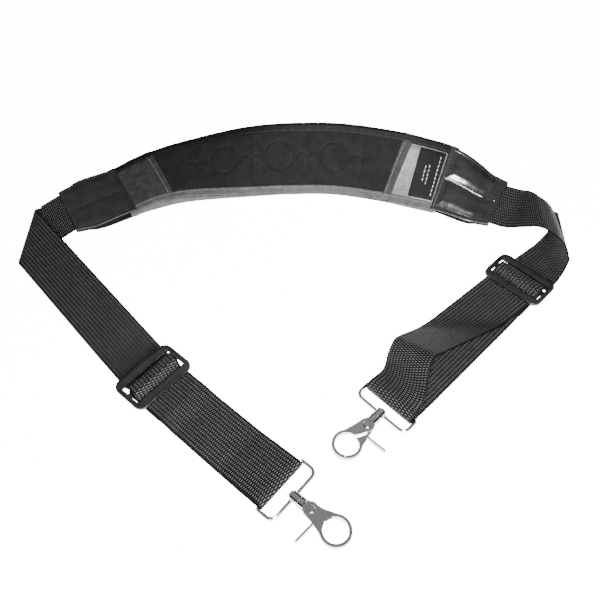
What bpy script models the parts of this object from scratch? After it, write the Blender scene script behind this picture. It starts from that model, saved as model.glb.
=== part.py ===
"""Padded saxophone strap, laid out on a table.

A curved pad with leatherette end tabs carries a 50 mm webbing on each side. Each webbing is
folded over on itself, passes through a tri-glide, loops round the bar of a hook frame and comes
back under itself to the tri-glide, where its end is sewn round the centre bar. A swivel trigger
hook turns in each frame. Units are metres and degrees, +Z is up and the table is Z = 0.
"""

import math

import bmesh
import bpy
from mathutils import Matrix, Vector

# Where the strap's own origin lies in the plan that the places below are given in.
PLAN_ORIGIN = Vector((-0.00673, 0.38155, -0.0002))

# Gap kept between neighbouring pieces.
GAP = 0.0003

# Webbing.
WEB_WIDTH = 0.050
WEB_THICK = 0.0016
LAYER = WEB_THICK + GAP
Z_FLOOR_LAYER = WEB_THICK / 2
Z_SECOND_LAYER = Z_FLOOR_LAYER + LAYER
Z_THIRD_LAYER = Z_SECOND_LAYER + LAYER
FOLD_CLEARANCE = GAP + WEB_THICK / 2
WEB_COLUMNS = 5

# Tri-glide: an outer frame with a centre bar between two slots.
GLIDE_LENGTH = 0.063
GLIDE_DEPTH = 0.039
GLIDE_THICK = 0.0032
GLIDE_SLOT_LENGTH = 0.0542
GLIDE_SLOT_NEAR = 0.0025
GLIDE_SLOT_FAR = 0.0107
GLIDE_CORNER = 0.0075
GLIDE_EDGE = 0.0005
GLIDE_SLOT_CORNER = 0.0012
GLIDE_BOTTOM = Z_THIRD_LAYER + FOLD_CLEARANCE
GLIDE_TOP = GLIDE_BOTTOM + GLIDE_THICK
LOOP_TOP = GLIDE_TOP + FOLD_CLEARANCE
WAVE_TOP = LOOP_TOP + LAYER
LOOP_SIDE = GLIDE_SLOT_NEAR + FOLD_CLEARANCE + 0.0001
WAVE_HALF = 0.0043
WAVE_FOOT_HOOK_SIDE = 0.0097
WAVE_FOOT_PAD_SIDE = 0.0127
WEB_JOIN = 0.0137
SEWN_TAIL = 0.034
SOFT_BEND = 0.0019
SKEW_FADE = 0.020
WEB_HOLD = 0.0125

# How the webbing's flat side view steps from one layer to the next along the loop.
TAIL_CLEAR = 0.003
TAIL_SLOPE = 0.015
BAR_RISE = 0.045
BAR_LEVEL = 0.004
BAR_EDGE = 0.0003
RETURN_RISE = 0.024
LAYER_BEND = 0.012

# Spacing of the rows of points that webbing is made of, and where rows may be left out.
ROW_STEP_WAVE = 0.0011
ROW_STEP_RUN = 0.0025
ROW_STEP_LAYER = 0.004
ROW_STEP_RETURN = 0.0016
ROW_GAP_MOST = 0.012
ROW_BEND_LEAST = math.radians(0.6)
FOLD_STEPS = 12

# Padded part, from the middle outwards: foam core, backing and face, and the edge bindings.
PAD_WIDTH = 0.078
PAD_FABRIC_WIDTH = 0.0758
CORE_HALF = 0.0033
CORE_HALF_AT_END = 0.0005
CORE_TAPER = 1.1
BACKING_THICK = 0.0013
FACE_THICK = 0.0015
BINDING_THICK = 0.0008
BINDING_LEG = 0.0100
PAD_STEPS = 40
PANEL_LEFT_STEPS = 5
PANEL_RIGHT_STEPS = 8
PAD_SEAM = 0.0008

# Middle of the pad as (x, y, z, tilt): tilt lifts the far long edge.
PAD_STATIONS = (
    (-0.202, 0.539, 0.0096, 3),
    (-0.170, 0.556, 0.0125, 6),
    (-0.136, 0.568, 0.0155, 13),
    (-0.099, 0.571, 0.0215, 24),
    (-0.058, 0.569, 0.0300, 39),
    (-0.014, 0.5685, 0.0345, 48),
    (0.041, 0.5675, 0.0350, 50),
    (0.096, 0.557, 0.0340, 47),
    (0.130, 0.549, 0.0310, 40),
    (0.161, 0.540, 0.0275, 32),
)

# End tabs, which hold the webbing at the mouth and the pad at the wide end.
TAB_WIDE = 0.0735
TAB_NARROW = 0.056
TAB_THICK = 0.0014
TAB_HOLD = 0.025
TAB_OVERLAP = 0.008
TAB_STEPS = 12
TAB_COLUMNS = 4
TAB_RISE_START = 0.36
TAB_RISE_SHARE = 0.44

# Woven label on the right panel.
LABEL_STEPS = (36, 39)
LABEL_WIDTH = 0.054
LABEL_THICK = 0.0006

# Webbing between tri-glide and tab: where the tri-glide sits, which way the webbing leaves it,
# and its bends as (distance from the tri-glide, skew, turn, radius). A positive turn curls up.
UPPER_RUNS = {
    "left": {
        "glide": (-0.13134, 0.30348),
        "heading": 133.0,
        "bends": (
            (0.0395, 18, 5, 0.120),
            (0.2220, -46.4, -172, 0.0041),
            (0.2339, -6, -5.8, 0.050),
        ),
        "length": 0.2815,
        "row_skews": ((0.0575, -6), (0.2275, -46), (0.2625, -46), (0.3025, 0)),
    },
    "right": {
        "glide": (0.2200, 0.4167),
        "heading": 38,
        "bends": (
            (0.0255, 42, 73, 0.030),
            (0.0642, 36, 89, 0.0177),
            (0.1085, 35.4, 61, 0.012),
            (0.1342, 0, -37, 0.025),
        ),
        "length": 0.1584,
        "row_skews": ((0.040, -7), (0.080, 36), (0.130, 36), (0.165, 0)),
    },
}

# Webbing between tri-glide and hook: the middle of the hook frame's bar. A slack upper layer
# stands up in a hump, with bends as above; a snug one lies on the layer below.
HOOK_BARS = {"left": (-0.0165, 0.2045), "right": (0.0805, 0.2790)}
# How high the webbing's upper layer passes over the bar, measured from the bar's middle.
LOOP_LIFT = {"left": 0.0027, "right": 0.0090}
SLACK_BENDS = {
    "left": None,
    "right": {
        "heading": 220.8,
        "bends": ((0.066, -50, 31, 0.040), (0.1514, 3.7, -56, 0.010)),
        "settle": (0.166, 0.208),
    },
}

# Hook frame: a rectangular ring of round bar with a swivel boss.
BAR_RADIUS = 0.0016
FRAME_HALF = 0.0270
FRAME_REACH = 0.0160
FRAME_CORNER_BAR = 0.0020
FRAME_CORNER_OUT = 0.0060
BOSS_RADIUS = 0.0046
BOSS_START = 0.0135
BOSS_END = 0.0215
PIN_RADIUS = 0.0020
PIN_HOLE = 0.0023
PIN_HEAD_RADIUS = 0.0031
PIN_HEAD_THICK = 0.0016
PIN_DEPTH = 0.0026
SOCKET_DEPTH = 0.0030
BORE_START = 0.0050
HOOK_Z = 0.0050

# Trigger hook, along the axis from the frame's bar.
COLLAR_START = 0.0219
COLLAR_END = 0.0280
COLLAR_RADIUS = 0.0050
RIVET_AT = 0.0328
EAR_RADIUS = 0.0064
RING_AT = 0.0580
RING_INNER = 0.0104
RING_OUTER = 0.0129
HALF_THICK = 0.0026
LAP = 0.00015
LAP_ANGLE = 32
ROOT_CLEAR = 0.0004
LEVER_AT = 0.0412
LEVER_ROOT = 0.0075
LEVER_TIP = 0.0265
LEVER_THICK = 0.0017
LEVER_LEAN = 0.0012
LEVER_HALF_HEIGHT = 0.0024
FILLER_SHARE = 0.6
# Corners of a jaw between its arcs, each measured from the rivet or from the ring's middle.
SHOULDER_FROM_RIVET = Vector((0.0062, 0.0074))
FILLER_FROM_RIVET = Vector((0.0100, 0.0078))
THROAT_FROM_RIVET = Vector((0.0052, -0.0044))
THROAT_FROM_RING = Vector((-0.0135, -0.0014))
CUT_REACH = 0.006
RIVET_RADIUS = 0.0015
RIVET_HOLE = 0.0018
RIVET_HEAD_RADIUS = 0.0036
RIVET_HEAD_THICK = 0.0008
RIVET_HEAD_EDGE = 0.0004
PIN_HEAD_EDGE = 0.0005
RECESS_RADIUS = 0.0039
RECESS_DEPTH = 0.0015
SPRING_RADIUS = 0.0028
SPRING_WIRE = 0.00040
SPRING_TURNS = 2
SPRING_STEPS = 12
SPRING_HEIGHT = 0.0020

SMOOTH_ANGLE = math.radians(40)
COLOURS = {
    "webbing": (0.012, 0.012, 0.013),
    "leatherette": (0.008, 0.008, 0.009),
    "suede": (0.014, 0.014, 0.015),
    "foam": (0.05, 0.05, 0.05),
    "binding": (0.24, 0.24, 0.25),
    "label": (0.02, 0.02, 0.02),
    "acetal": (0.010, 0.010, 0.011),
    "chrome": (0.72, 0.72, 0.74),
    "spring_steel": (0.45, 0.45, 0.46),
}
# Roughness and metallic of the finishes that are not plain cloth.
FINISHES = {
    "leatherette": (0.25, 0),
    "acetal": (0.35, 0),
    "chrome": (0.12, 1),
    "spring_steel": (0.3, 1),
}
CLOTH_ROUGHNESS = 0.85


def clear_scene():
    """Start from an empty scene."""
    for found in list(bpy.data.objects):
        bpy.data.objects.remove(found)


def collection(name):
    """A new collection in the scene."""
    made = bpy.data.collections.new(name)
    bpy.context.scene.collection.children.link(made)
    return made


clear_scene()
PARTS = collection("saxophone_strap")
CUTTERS = collection("cutters")


def material(kind):
    """The material of that kind, made once."""
    found = bpy.data.materials.get(kind)
    if found:
        return found
    made = bpy.data.materials.new(kind)
    made.use_nodes = True
    shader = made.node_tree.nodes["Principled BSDF"]
    roughness, metallic = FINISHES.get(kind, (CLOTH_ROUGHNESS, 0))
    shader.inputs["Base Color"].default_value = (*COLOURS[kind], 1)
    shader.inputs["Roughness"].default_value = roughness
    shader.inputs["Metallic"].default_value = metallic
    return made


def add_object(name, data, kind, home=None):
    """A named object in the parts collection, with its own material."""
    made = bpy.data.objects.new(name, data)
    (home or PARTS).objects.link(made)
    if kind:
        data.materials.append(material(kind))
    return made


def smooth(target):
    """Round surfaces shade smooth and edges stay sharp."""
    target.data.shade_smooth()
    target.data.set_sharp_from_angle(angle=SMOOTH_ANGLE)


def to_mesh(source, name, kind):
    """A curve or modified object turned into a plain welded mesh with its place worked in."""
    bpy.context.view_layer.update()
    evaluated = source.evaluated_get(bpy.context.evaluated_depsgraph_get())
    data = bpy.data.meshes.new_from_object(evaluated)
    data.transform(source.matrix_world)
    bpy.data.objects.remove(source)
    cage = bmesh.new()
    cage.from_mesh(data)
    bmesh.ops.remove_doubles(cage, verts=cage.verts, dist=1e-6)
    bmesh.ops.recalc_face_normals(cage, faces=cage.faces)
    cage.to_mesh(data)
    cage.free()
    data.materials.clear()
    return add_object(name, data, kind)


def combine(target, tool, operation):
    """Join tool to target, or cut it away, and leave target as a plain mesh."""
    change = target.modifiers.new(operation.lower(), "BOOLEAN")
    change.operation = operation
    change.object = tool
    name = target.name
    kind = target.data.materials[0].name
    target.name = name + "_before"
    made = to_mesh(target, name, kind)
    bpy.data.objects.remove(tool)
    return made


def ground_frame(x, y, z, heading):
    """Origin, forward, left and up directions of a level frame given in plan coordinates."""
    turn = math.radians(heading)
    forward = Vector((math.cos(turn), math.sin(turn), 0))
    left = Vector((-math.sin(turn), math.cos(turn), 0))
    return Vector((x, y, z)) - PLAN_ORIGIN, forward, left, Vector((0, 0, 1))


def put_on_axis(made, place, x):
    """Place a piece drawn in the frame of place, its origin on the joint axis at local x."""
    shift = Matrix.Translation((x, 0, 0))
    made.data.transform(shift.inverted())
    made.matrix_world = place @ shift
    smooth(made)


def frame_matrix(frame):
    """The matrix that puts local X, Y, Z along a frame's forward, left and up."""
    origin, forward, left, up = frame
    turn = Matrix((forward, left, up)).transposed()
    return Matrix.Translation(origin) @ turn.to_4x4()


# Bent strips: a flat strip that rolls round straight axes, so it never stretches.


def strip_segments(frame, bends):
    """The flat stretches of a strip and the bends between them, worked out in order."""
    origin, along, across, up = frame
    flat = Vector((0, 0))
    segments = []
    for distance, skew, turn, radius in bends:
        skew = math.radians(skew)
        turn = math.radians(turn)
        ahead = Vector((math.cos(skew), -math.sin(skew)))
        beside = Vector((math.sin(skew), math.cos(skew)))
        base = origin + (distance - flat.x) * along - flat.y * across
        ahead_3d = ahead.x * along + ahead.y * across
        beside_3d = beside.x * along + beside.y * across
        side = math.copysign(1, turn)
        bend = (distance, ahead, beside, base)
        segments.append((origin, along, across, flat, bend, (ahead_3d, beside_3d, up, side, turn, radius)))
        rise = radius * side * (1 - math.cos(turn)) * up
        origin = base + radius * math.sin(abs(turn)) * ahead_3d + rise
        turned = math.cos(turn) * ahead_3d + math.sin(turn) * up
        up = math.cos(turn) * up - math.sin(turn) * ahead_3d
        reach = radius * abs(turn)
        along = ahead.x * turned + beside.x * beside_3d
        across = ahead.y * turned + beside.y * beside_3d
        flat = Vector((distance, 0)) + reach * ahead
    segments.append((origin, along, across, flat, None, None))
    return segments


def strip_point(segments, s, w):
    """Where the point s along and w across the flat strip ends up once the strip is bent."""
    for origin, along, across, flat, bend, roll in segments:
        if bend is None:
            return origin + (s - flat.x) * along + (w - flat.y) * across
        distance, ahead, beside, base = bend
        offset = Vector((s - distance, w))
        depth = offset.dot(ahead)
        if depth <= 0:
            return origin + (s - flat.x) * along + (w - flat.y) * across
        ahead_3d, beside_3d, up, side, turn, radius = roll
        if depth < radius * abs(turn):
            angle = depth / radius
            rise = side * (1 - math.cos(angle)) * radius
            return base + offset.dot(beside) * beside_3d + math.sin(angle) * radius * ahead_3d + rise * up
    return None


def profile_bends(corners, radius):
    """Bends of a strip that follows the side-view corners (distance, height), and its length."""
    points = [Vector(corner) for corner in corners]
    turns = []
    for before, here, after in zip(points, points[1:], points[2:]):
        turns.append((here - before).angle_signed(after - here) * -1)
    cuts = [0] + [radius * math.tan(abs(turn) / 2) for turn in turns] + [0]
    travelled = 0
    bends = []
    for index, turn in enumerate(turns):
        travelled += (points[index + 1] - points[index]).length - cuts[index] - cuts[index + 1]
        bends.append((travelled, 0, math.degrees(turn), radius))
        travelled += radius * abs(turn)
    travelled += (points[-1] - points[-2]).length - cuts[-2]
    return bends, travelled


def widths(width, columns=WEB_COLUMNS):
    """Evenly spaced places across a strip."""
    return [width * (column / (columns - 1) - 0.5) for column in range(columns)]


def spaced(start, end, step):
    """Evenly spaced values from start up to end, about step apart, without the last one."""
    count = max(1, math.ceil((end - start) / step))
    return [start + (end - start) * index / count for index in range(count)]


def sheet_object(name, rows, thickness, kind):
    """A thick sheet through a grid of points: the open surface is thickened both ways."""
    cage = bmesh.new()
    verts = [[cage.verts.new(point) for point in row] for row in rows]
    for row, following in zip(verts, verts[1:]):
        for column in range(len(row) - 1):
            cage.faces.new((row[column], following[column], following[column + 1], row[column + 1]))
    data = bpy.data.meshes.new(name)
    cage.to_mesh(data)
    cage.free()
    made = add_object(name, data, kind)
    skin = made.modifiers.new("thickness", "SOLIDIFY")
    skin.thickness = thickness
    skin.offset = 0
    skin.use_even_offset = True
    smooth(made)
    return made


# Webbing.


def loop_line(side):
    """Heading in degrees and length of the line from the tri-glide to the hook frame's bar."""
    line = Vector(HOOK_BARS[side]) - Vector(UPPER_RUNS[side]["glide"])
    return math.degrees(math.atan2(line.y, line.x)), line.length


def bar_frame(side):
    """Frame at the middle of the hook frame's bar, X pointing towards the hook."""
    return ground_frame(*HOOK_BARS[side], HOOK_Z, loop_line(side)[0])


def glide_frame(side):
    """Frame at the middle of the tri-glide, on the table, X pointing towards the hook."""
    return ground_frame(*UPPER_RUNS[side]["glide"], 0, loop_line(side)[0])


def glide_skew(side, heading):
    """Angle between a webbing's heading and the tri-glide's own axis."""
    return (heading - loop_line(side)[0] + 90) % 180 - 90


def upper_strip(side):
    """Segments, skewed length and whole length of the webbing from tri-glide to tab."""
    run = UPPER_RUNS[side]
    over_bar = (
        (-WEB_JOIN, Z_THIRD_LAYER),
        (-WAVE_FOOT_HOOK_SIDE, Z_THIRD_LAYER),
        (-WAVE_HALF, WAVE_TOP),
        (WAVE_HALF, WAVE_TOP),
        (WAVE_FOOT_PAD_SIDE, Z_FLOOR_LAYER),
        (GLIDE_DEPTH / 2, Z_FLOOR_LAYER),
    )
    wave, wave_length = profile_bends(over_bar, SOFT_BEND)
    skew = glide_skew(side, run["heading"])
    longer = 1 / math.cos(math.radians(skew))
    wave = [(distance * longer, skew, turn, radius) for distance, _, turn, radius in wave]
    wave_length *= longer
    extra = wave_length - GLIDE_DEPTH / 2 * longer
    folds = [(distance + extra, *bend) for distance, *bend in run["bends"]]
    start = ground_frame(*run["glide"], Z_THIRD_LAYER, run["heading"])
    origin = start[0] - WEB_JOIN * longer * start[1]
    segments = strip_segments((origin, *start[1:]), wave + folds)
    return segments, wave_length, run["length"] + extra


def skewed_row(segments, s, skew):
    """A row of points across a strip, turned by skew."""
    slope = math.tan(math.radians(skew))
    return [strip_point(segments, s + w * slope, w) for w in widths(WEB_WIDTH)]


def row_skew(knots, s):
    """Skew of the row of points at s: rows lie along the nearest bend's axis."""
    if s <= knots[0][0]:
        return knots[0][1]
    for (before, skew_before), (after, skew_after) in zip(knots, knots[1:]):
        if s < after:
            return skew_before + (skew_after - skew_before) * (s - before) / (after - before)
    return knots[-1][1]


def webbing_upper(side):
    """Webbing that comes over the tri-glide's bar, folds over and runs into the tab."""
    segments, wave_length, length = upper_strip(side)
    end = length + WEB_HOLD
    stations = spaced(0, wave_length, ROW_STEP_WAVE) + spaced(wave_length, end, ROW_STEP_RUN) + [end]
    rows = [skewed_row(segments, s, row_skew(UPPER_RUNS[side]["row_skews"], s)) for s in stations]
    return sheet_object("webbing_upper_" + side, thinned(rows), WEB_THICK, "webbing")


def smoothstep(value):
    """0 below 0, 1 above 1 and a smooth step between."""
    value = min(max(value, 0), 1)
    return value * value * (3 - 2 * value)


def profile_rows(frame, corners, radius, step):
    """Rows of a strip that follows side-view corners in a frame, and the strip's length."""
    bends, length = profile_bends(corners, radius)
    origin, forward, left, up = frame
    start = origin + corners[0][0] * forward + corners[0][1] * up
    first = Vector(corners[1]) - Vector(corners[0])
    pitch = math.atan2(first.y, first.x)
    along = math.cos(pitch) * forward + math.sin(pitch) * up
    normal = math.cos(pitch) * up - math.sin(pitch) * forward
    segments = strip_segments((start, along, left, normal), bends)
    stations = spaced(0, length, step) + [length]
    return [[strip_point(segments, s, w) for w in widths(WEB_WIDTH)] for s in stations]


def top_layer_rows(side, reach):
    """Rows of the loop's upper layer, from the tri-glide to the top of the hook frame's bar."""
    glide = glide_frame(side)
    over = HOOK_Z + LOOP_LIFT[side]
    slack = SLACK_BENDS[side]
    if slack is None:
        corners = (
            (WEB_JOIN + GAP, Z_THIRD_LAYER),
            (SEWN_TAIL + TAIL_CLEAR, Z_THIRD_LAYER),
            (SEWN_TAIL + TAIL_CLEAR + TAIL_SLOPE, Z_SECOND_LAYER),
            (reach - BAR_RISE, Z_SECOND_LAYER),
            (reach - BAR_LEVEL, over),
            (reach - BAR_EDGE, over),
        )
        return profile_rows(glide, corners, LAYER_BEND, ROW_STEP_LAYER)[:-1]
    x, y = UPPER_RUNS[side]["glide"]
    start = ground_frame(x, y, Z_THIRD_LAYER, slack["heading"])
    segments = strip_segments(start, slack["bends"])
    begin, end = slack["settle"]
    origin, forward, left, up = glide
    skew = glide_skew(side, slack["heading"])
    first = (WEB_JOIN + GAP) / math.cos(math.radians(skew))
    rows = []
    for s in spaced(first, end, ROW_STEP_LAYER):
        settled = smoothstep((s - begin) / (end - begin))
        at_bar = reach - (end - s)
        free_row = skewed_row(segments, s, skew * (1 - smoothstep((s - first) / SKEW_FADE)))
        seated_row = [origin + at_bar * forward + w * left + over * up for w in widths(WEB_WIDTH)]
        rows.append([free.lerp(seated, settled) for free, seated in zip(free_row, seated_row)])
    return rows


def bar_fold_rows(side):
    """Rows of the half turn round the hook frame's bar, from its top to its underside."""
    origin, forward, left, up = bar_frame(side)
    radius = (LOOP_LIFT[side] + BAR_RADIUS + FOLD_CLEARANCE) / 2
    origin = origin + (LOOP_LIFT[side] - radius) * up
    rows = []
    for step in range(FOLD_STEPS + 1):
        angle = math.pi * (0.5 - step / FOLD_STEPS)
        middle = origin + radius * math.cos(angle) * forward + radius * math.sin(angle) * up
        rows.append([middle + w * left for w in widths(WEB_WIDTH)])
    return rows


def return_layer_rows(side, reach):
    """Rows of the loop's lower layer, back to the tri-glide, round its bar and into the tail."""
    under = HOOK_Z - BAR_RADIUS - FOLD_CLEARANCE
    backwards = ground_backwards(side)
    corners = (
        (-reach + BAR_EDGE, under),
        (-reach + BAR_LEVEL, under),
        (-reach + RETURN_RISE, Z_FLOOR_LAYER),
        (-SEWN_TAIL - TAIL_CLEAR - TAIL_SLOPE, Z_FLOOR_LAYER),
        (-SEWN_TAIL - TAIL_CLEAR, Z_SECOND_LAYER),
        (-LOOP_SIDE, Z_SECOND_LAYER),
        (-LOOP_SIDE, LOOP_TOP),
        (LOOP_SIDE, LOOP_TOP),
        (LOOP_SIDE, Z_FLOOR_LAYER),
        (-SEWN_TAIL, Z_FLOOR_LAYER),
    )
    return profile_rows(backwards, corners, SOFT_BEND, ROW_STEP_RETURN)


def ground_backwards(side):
    """The tri-glide's frame turned to look back towards the pad, Y still on the same side."""
    origin, forward, left, up = glide_frame(side)
    return origin, -forward, left, up


def webbing_loop(side):
    """Webbing from the tri-glide round the hook frame's bar and back, with its sewn end."""
    reach = loop_line(side)[1]
    rows = top_layer_rows(side, reach) + bar_fold_rows(side) + return_layer_rows(side, reach)
    return sheet_object("webbing_loop_" + side, thinned(rows), WEB_THICK, "webbing")


def thinned(rows):
    """The rows without those on a straight stretch, so long flat runs stay coarse."""
    kept = [rows[0]]
    for row, following in zip(rows[1:], rows[2:]):
        ahead = following[0] - row[0]
        behind = row[0] - kept[-1][0]
        far_ahead = following[-1] - row[-1]
        far_behind = row[-1] - kept[-1][-1]
        bend = max(ahead.angle(behind), far_ahead.angle(far_behind))
        if bend > ROW_BEND_LEAST or behind.length > ROW_GAP_MOST:
            kept.append(row)
    return kept + [rows[-1]]


# Tri-glide.


def rounded_outline(half_x, half_y, corner, steps=4):
    """Corners of a rounded rectangle, each an arc."""
    points = []
    for quarter in range(4):
        sx = (1, -1, -1, 1)[quarter]
        sy = (1, 1, -1, -1)[quarter]
        for step in range(steps + 1):
            angle = math.radians(90 * quarter + 90 * step / steps)
            x = sx * (half_x - corner) + corner * math.cos(angle)
            y = sy * (half_y - corner) + corner * math.sin(angle)
            points.append((x, y))
    return points


def flat_outline(name, outlines, thickness, kind, edge=0.0):
    """A flat piece from closed outlines, inner ones being holes, centred on its thickness."""
    data = bpy.data.curves.new(name, "CURVE")
    data.dimensions = "2D"
    data.fill_mode = "BOTH"
    data.extrude = thickness / 2 - edge
    data.bevel_depth = edge
    data.bevel_resolution = 1
    for outline in outlines:
        spline = data.splines.new("POLY")
        spline.points.add(len(outline) - 1)
        for point, (x, y) in zip(spline.points, outline):
            point.co = (x, y, 0, 1)
        spline.use_cyclic_u = True
    return add_object(name, data, kind)


def tri_glide(side):
    """Frame with two slots and a centre bar, its long way across the webbing."""
    outer = rounded_outline(GLIDE_DEPTH / 2 - GLIDE_EDGE, GLIDE_LENGTH / 2 - GLIDE_EDGE, GLIDE_CORNER)
    half = (GLIDE_SLOT_FAR - GLIDE_SLOT_NEAR) / 2 + GLIDE_EDGE
    middle = (GLIDE_SLOT_FAR + GLIDE_SLOT_NEAR) / 2
    outlines = [outer]
    for sign in (1, -1):
        slot = rounded_outline(half, GLIDE_SLOT_LENGTH / 2 + GLIDE_EDGE, GLIDE_SLOT_CORNER, 2)
        outlines.append([(sign * middle + x, y) for x, y in slot])
    made = flat_outline("tri_glide_outline", outlines, GLIDE_THICK, "acetal", GLIDE_EDGE)
    origin, forward, left, up = glide_frame(side)
    made.matrix_world = frame_matrix((origin + (GLIDE_BOTTOM + GLIDE_THICK / 2) * up, forward, left, up))
    smooth(to_mesh(made, "tri_glide_" + side, "acetal"))


# Padded part: strips that follow one spine from tab mouth to tab mouth.


def mouth_stations(side, pad_end, direction):
    """Spine stations in a tab's mouth, in the plane of its webbing and towards the pad's end."""
    segments, _, length = upper_strip(side)
    mouth = strip_point(segments, length, 0)
    along = strip_point(segments, length + WEB_HOLD, 0) - mouth
    beside = strip_point(segments, length, WEB_WIDTH / 2) - mouth
    normal = along.cross(beside).normalized()
    inwards = (pad_end - mouth) - (pad_end - mouth).dot(normal) * normal
    inwards.normalize()
    forward = direction * inwards
    level = Vector((-forward.y, forward.x, 0)).normalized()
    across = normal.cross(forward)
    if across.dot(level) < 0:
        across.negate()
    tilt = math.asin(across.dot(forward.cross(level)))
    return [(mouth + share * TAB_HOLD * inwards, tilt) for share in (0, 0.5, 1)]


def spine_stations():
    """Every station of the spine as (middle, tilt), from the left mouth to the right one."""
    pad = [(Vector(station[:3]) - PLAN_ORIGIN, math.radians(station[3])) for station in PAD_STATIONS]
    left = mouth_stations("left", pad[0][0], 1)
    right = mouth_stations("right", pad[-1][0], -1)
    return left + pad + right[::-1]


SPINE = spine_stations()
MOUTH_COUNT = 3
PAD_FIRST = MOUTH_COUNT
PAD_LAST = len(SPINE) - MOUTH_COUNT - 1


def hermite(values, index, part):
    """Value between two stations on a smooth curve through all of them."""
    before = values[max(index - 1, 0)]
    a = values[index]
    b = values[min(index + 1, len(values) - 1)]
    after = values[min(index + 2, len(values) - 1)]
    slope_a = (b - before) / 2
    slope_b = (after - a) / 2
    square = part * part
    cube = square * part
    return (
        (2 * cube - 3 * square + 1) * a
        + (cube - 2 * square + part) * slope_a
        + (3 * square - 2 * cube) * b
        + (cube - square) * slope_b
    )


def spine_point(place):
    """Middle and tilt of the spine at a place counted in stations."""
    index = min(int(place), len(SPINE) - 2)
    part = place - index
    middle = hermite([station[0] for station in SPINE], index, part)
    tilt = hermite([station[1] for station in SPINE], index, part)
    return middle, tilt


def spine_frame(place):
    """Middle, forward, across and face directions of the spine at a place."""
    step = 0.02
    middle, tilt = spine_point(place)
    ahead = spine_point(min(place + step, len(SPINE) - 1))[0]
    behind = spine_point(max(place - step, 0))[0]
    forward = (ahead - behind).normalized()
    level = Vector((-forward.y, forward.x, 0)).normalized()
    upright = forward.cross(level)
    across = math.cos(tilt) * level + math.sin(tilt) * upright
    return middle, forward, across, forward.cross(across)


def spine_lengths():
    """Places along the spine, finely spaced, and the distance run up to each."""
    places = [PAD_FIRST + (PAD_LAST - PAD_FIRST) * index / 400 for index in range(401)]
    runs = [0.0]
    for before, here in zip(places, places[1:]):
        runs.append(runs[-1] + (spine_point(here)[0] - spine_point(before)[0]).length)
    return places, runs


PLACES, RUNS = spine_lengths()
PAD_LENGTH = RUNS[-1]


def pad_place(share):
    """Place on the spine at a share of the pad's length, measured along it."""
    target = share * PAD_LENGTH
    index = next(i for i in range(1, len(RUNS)) if RUNS[i] >= target - 1e-9)
    part = (target - RUNS[index - 1]) / (RUNS[index] - RUNS[index - 1])
    return PLACES[index - 1] + part * (PLACES[index] - PLACES[index - 1])


def loft(name, rings, kind):
    """A closed solid through rings of points, capped at both ends."""
    cage = bmesh.new()
    made_rings = [[cage.verts.new(point) for point in ring] for ring in rings]
    count = len(rings[0])
    for ring, following in zip(made_rings, made_rings[1:]):
        for index in range(count):
            after = (index + 1) % count
            cage.faces.new((ring[index], ring[after], following[after], following[index]))
    cage.faces.new(made_rings[0][::-1])
    cage.faces.new(made_rings[-1])
    bmesh.ops.recalc_face_normals(cage, faces=cage.faces)
    data = bpy.data.meshes.new(name)
    cage.to_mesh(data)
    cage.free()
    made = add_object(name, data, kind)
    smooth(made)
    return made


def along_spine(name, places, section, kind):
    """A solid swept along the spine, whose section (across, offset) depends on the place."""
    rings = []
    for place in places:
        middle, _, across, face = spine_frame(place)
        rings.append([middle + a * across + b * face for a, b in section(place)])
    return loft(name, rings, kind)


def core_half(place):
    """Half thickness of the foam core, which thins out towards the pad's ends."""
    inside = min(place - PAD_FIRST, PAD_LAST - place)
    return CORE_HALF_AT_END + (CORE_HALF - CORE_HALF_AT_END) * smoothstep(inside / CORE_TAPER)


def fabric_top(place):
    """Height of the face's outer surface above the pad's middle."""
    return core_half(place) + GAP + FACE_THICK


def binding_top(place):
    """Height of the edge binding's outer surface above the pad's middle."""
    return fabric_top(place) + GAP + BINDING_THICK


def layer_section(width, low, high, columns=8):
    """A flat layer's section between two heights, with points along it so a twist stays even."""
    across = [width * (column / columns - 0.5) for column in range(columns + 1)]

    def section(place):
        return [(a, low(place)) for a in across] + [(a, high(place)) for a in reversed(across)]

    return section


def pad_places(first=0, last=PAD_STEPS):
    """Places on the spine at the pad's even steps, pulled in by a seam at both ends."""
    seam = PAD_SEAM / PAD_LENGTH / 2
    inside = [index / PAD_STEPS for index in range(first + 1, last)]
    return [pad_place(share) for share in [first / PAD_STEPS + seam, *inside, last / PAD_STEPS - seam]]


def pad_layers():
    """Backing, foam core and the three panels of the face."""
    core = layer_section(PAD_FABRIC_WIDTH, lambda place: -core_half(place), core_half)
    under = layer_section(
        PAD_FABRIC_WIDTH,
        lambda place: -core_half(place) - GAP - BACKING_THICK,
        lambda place: -core_half(place) - GAP,
    )
    face = layer_section(PAD_FABRIC_WIDTH, lambda place: core_half(place) + GAP, fabric_top)
    right_start = PAD_STEPS - PANEL_RIGHT_STEPS
    along_spine("pad_foam_core", pad_places(), core, "foam")
    along_spine("pad_backing", pad_places(), under, "suede")
    along_spine("face_panel_left", pad_places(0, PANEL_LEFT_STEPS), face, "suede")
    along_spine("face_quilted", pad_places(PANEL_LEFT_STEPS, right_start), face, "suede")
    along_spine("face_panel_right", pad_places(right_start, PAD_STEPS), face, "suede")


def edge_bindings():
    """Tape folded over each long edge of the pad, a channel in section."""
    edge = PAD_WIDTH / 2
    inner = edge - BINDING_THICK
    leg = edge - BINDING_LEG

    def section(place, sign):
        out = binding_top(place)
        within = out - BINDING_THICK
        outer_side = [(leg, out), (edge, out), (edge, -out), (leg, -out)]
        inner_side = [(leg, -within), (inner, -within), (inner, within), (leg, within)]
        return [(sign * a, b) for a, b in outer_side + inner_side]

    along_spine("binding_front", pad_places(), lambda place: section(place, -1), "binding")
    along_spine("binding_back", pad_places(), lambda place: section(place, 1), "binding")


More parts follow.
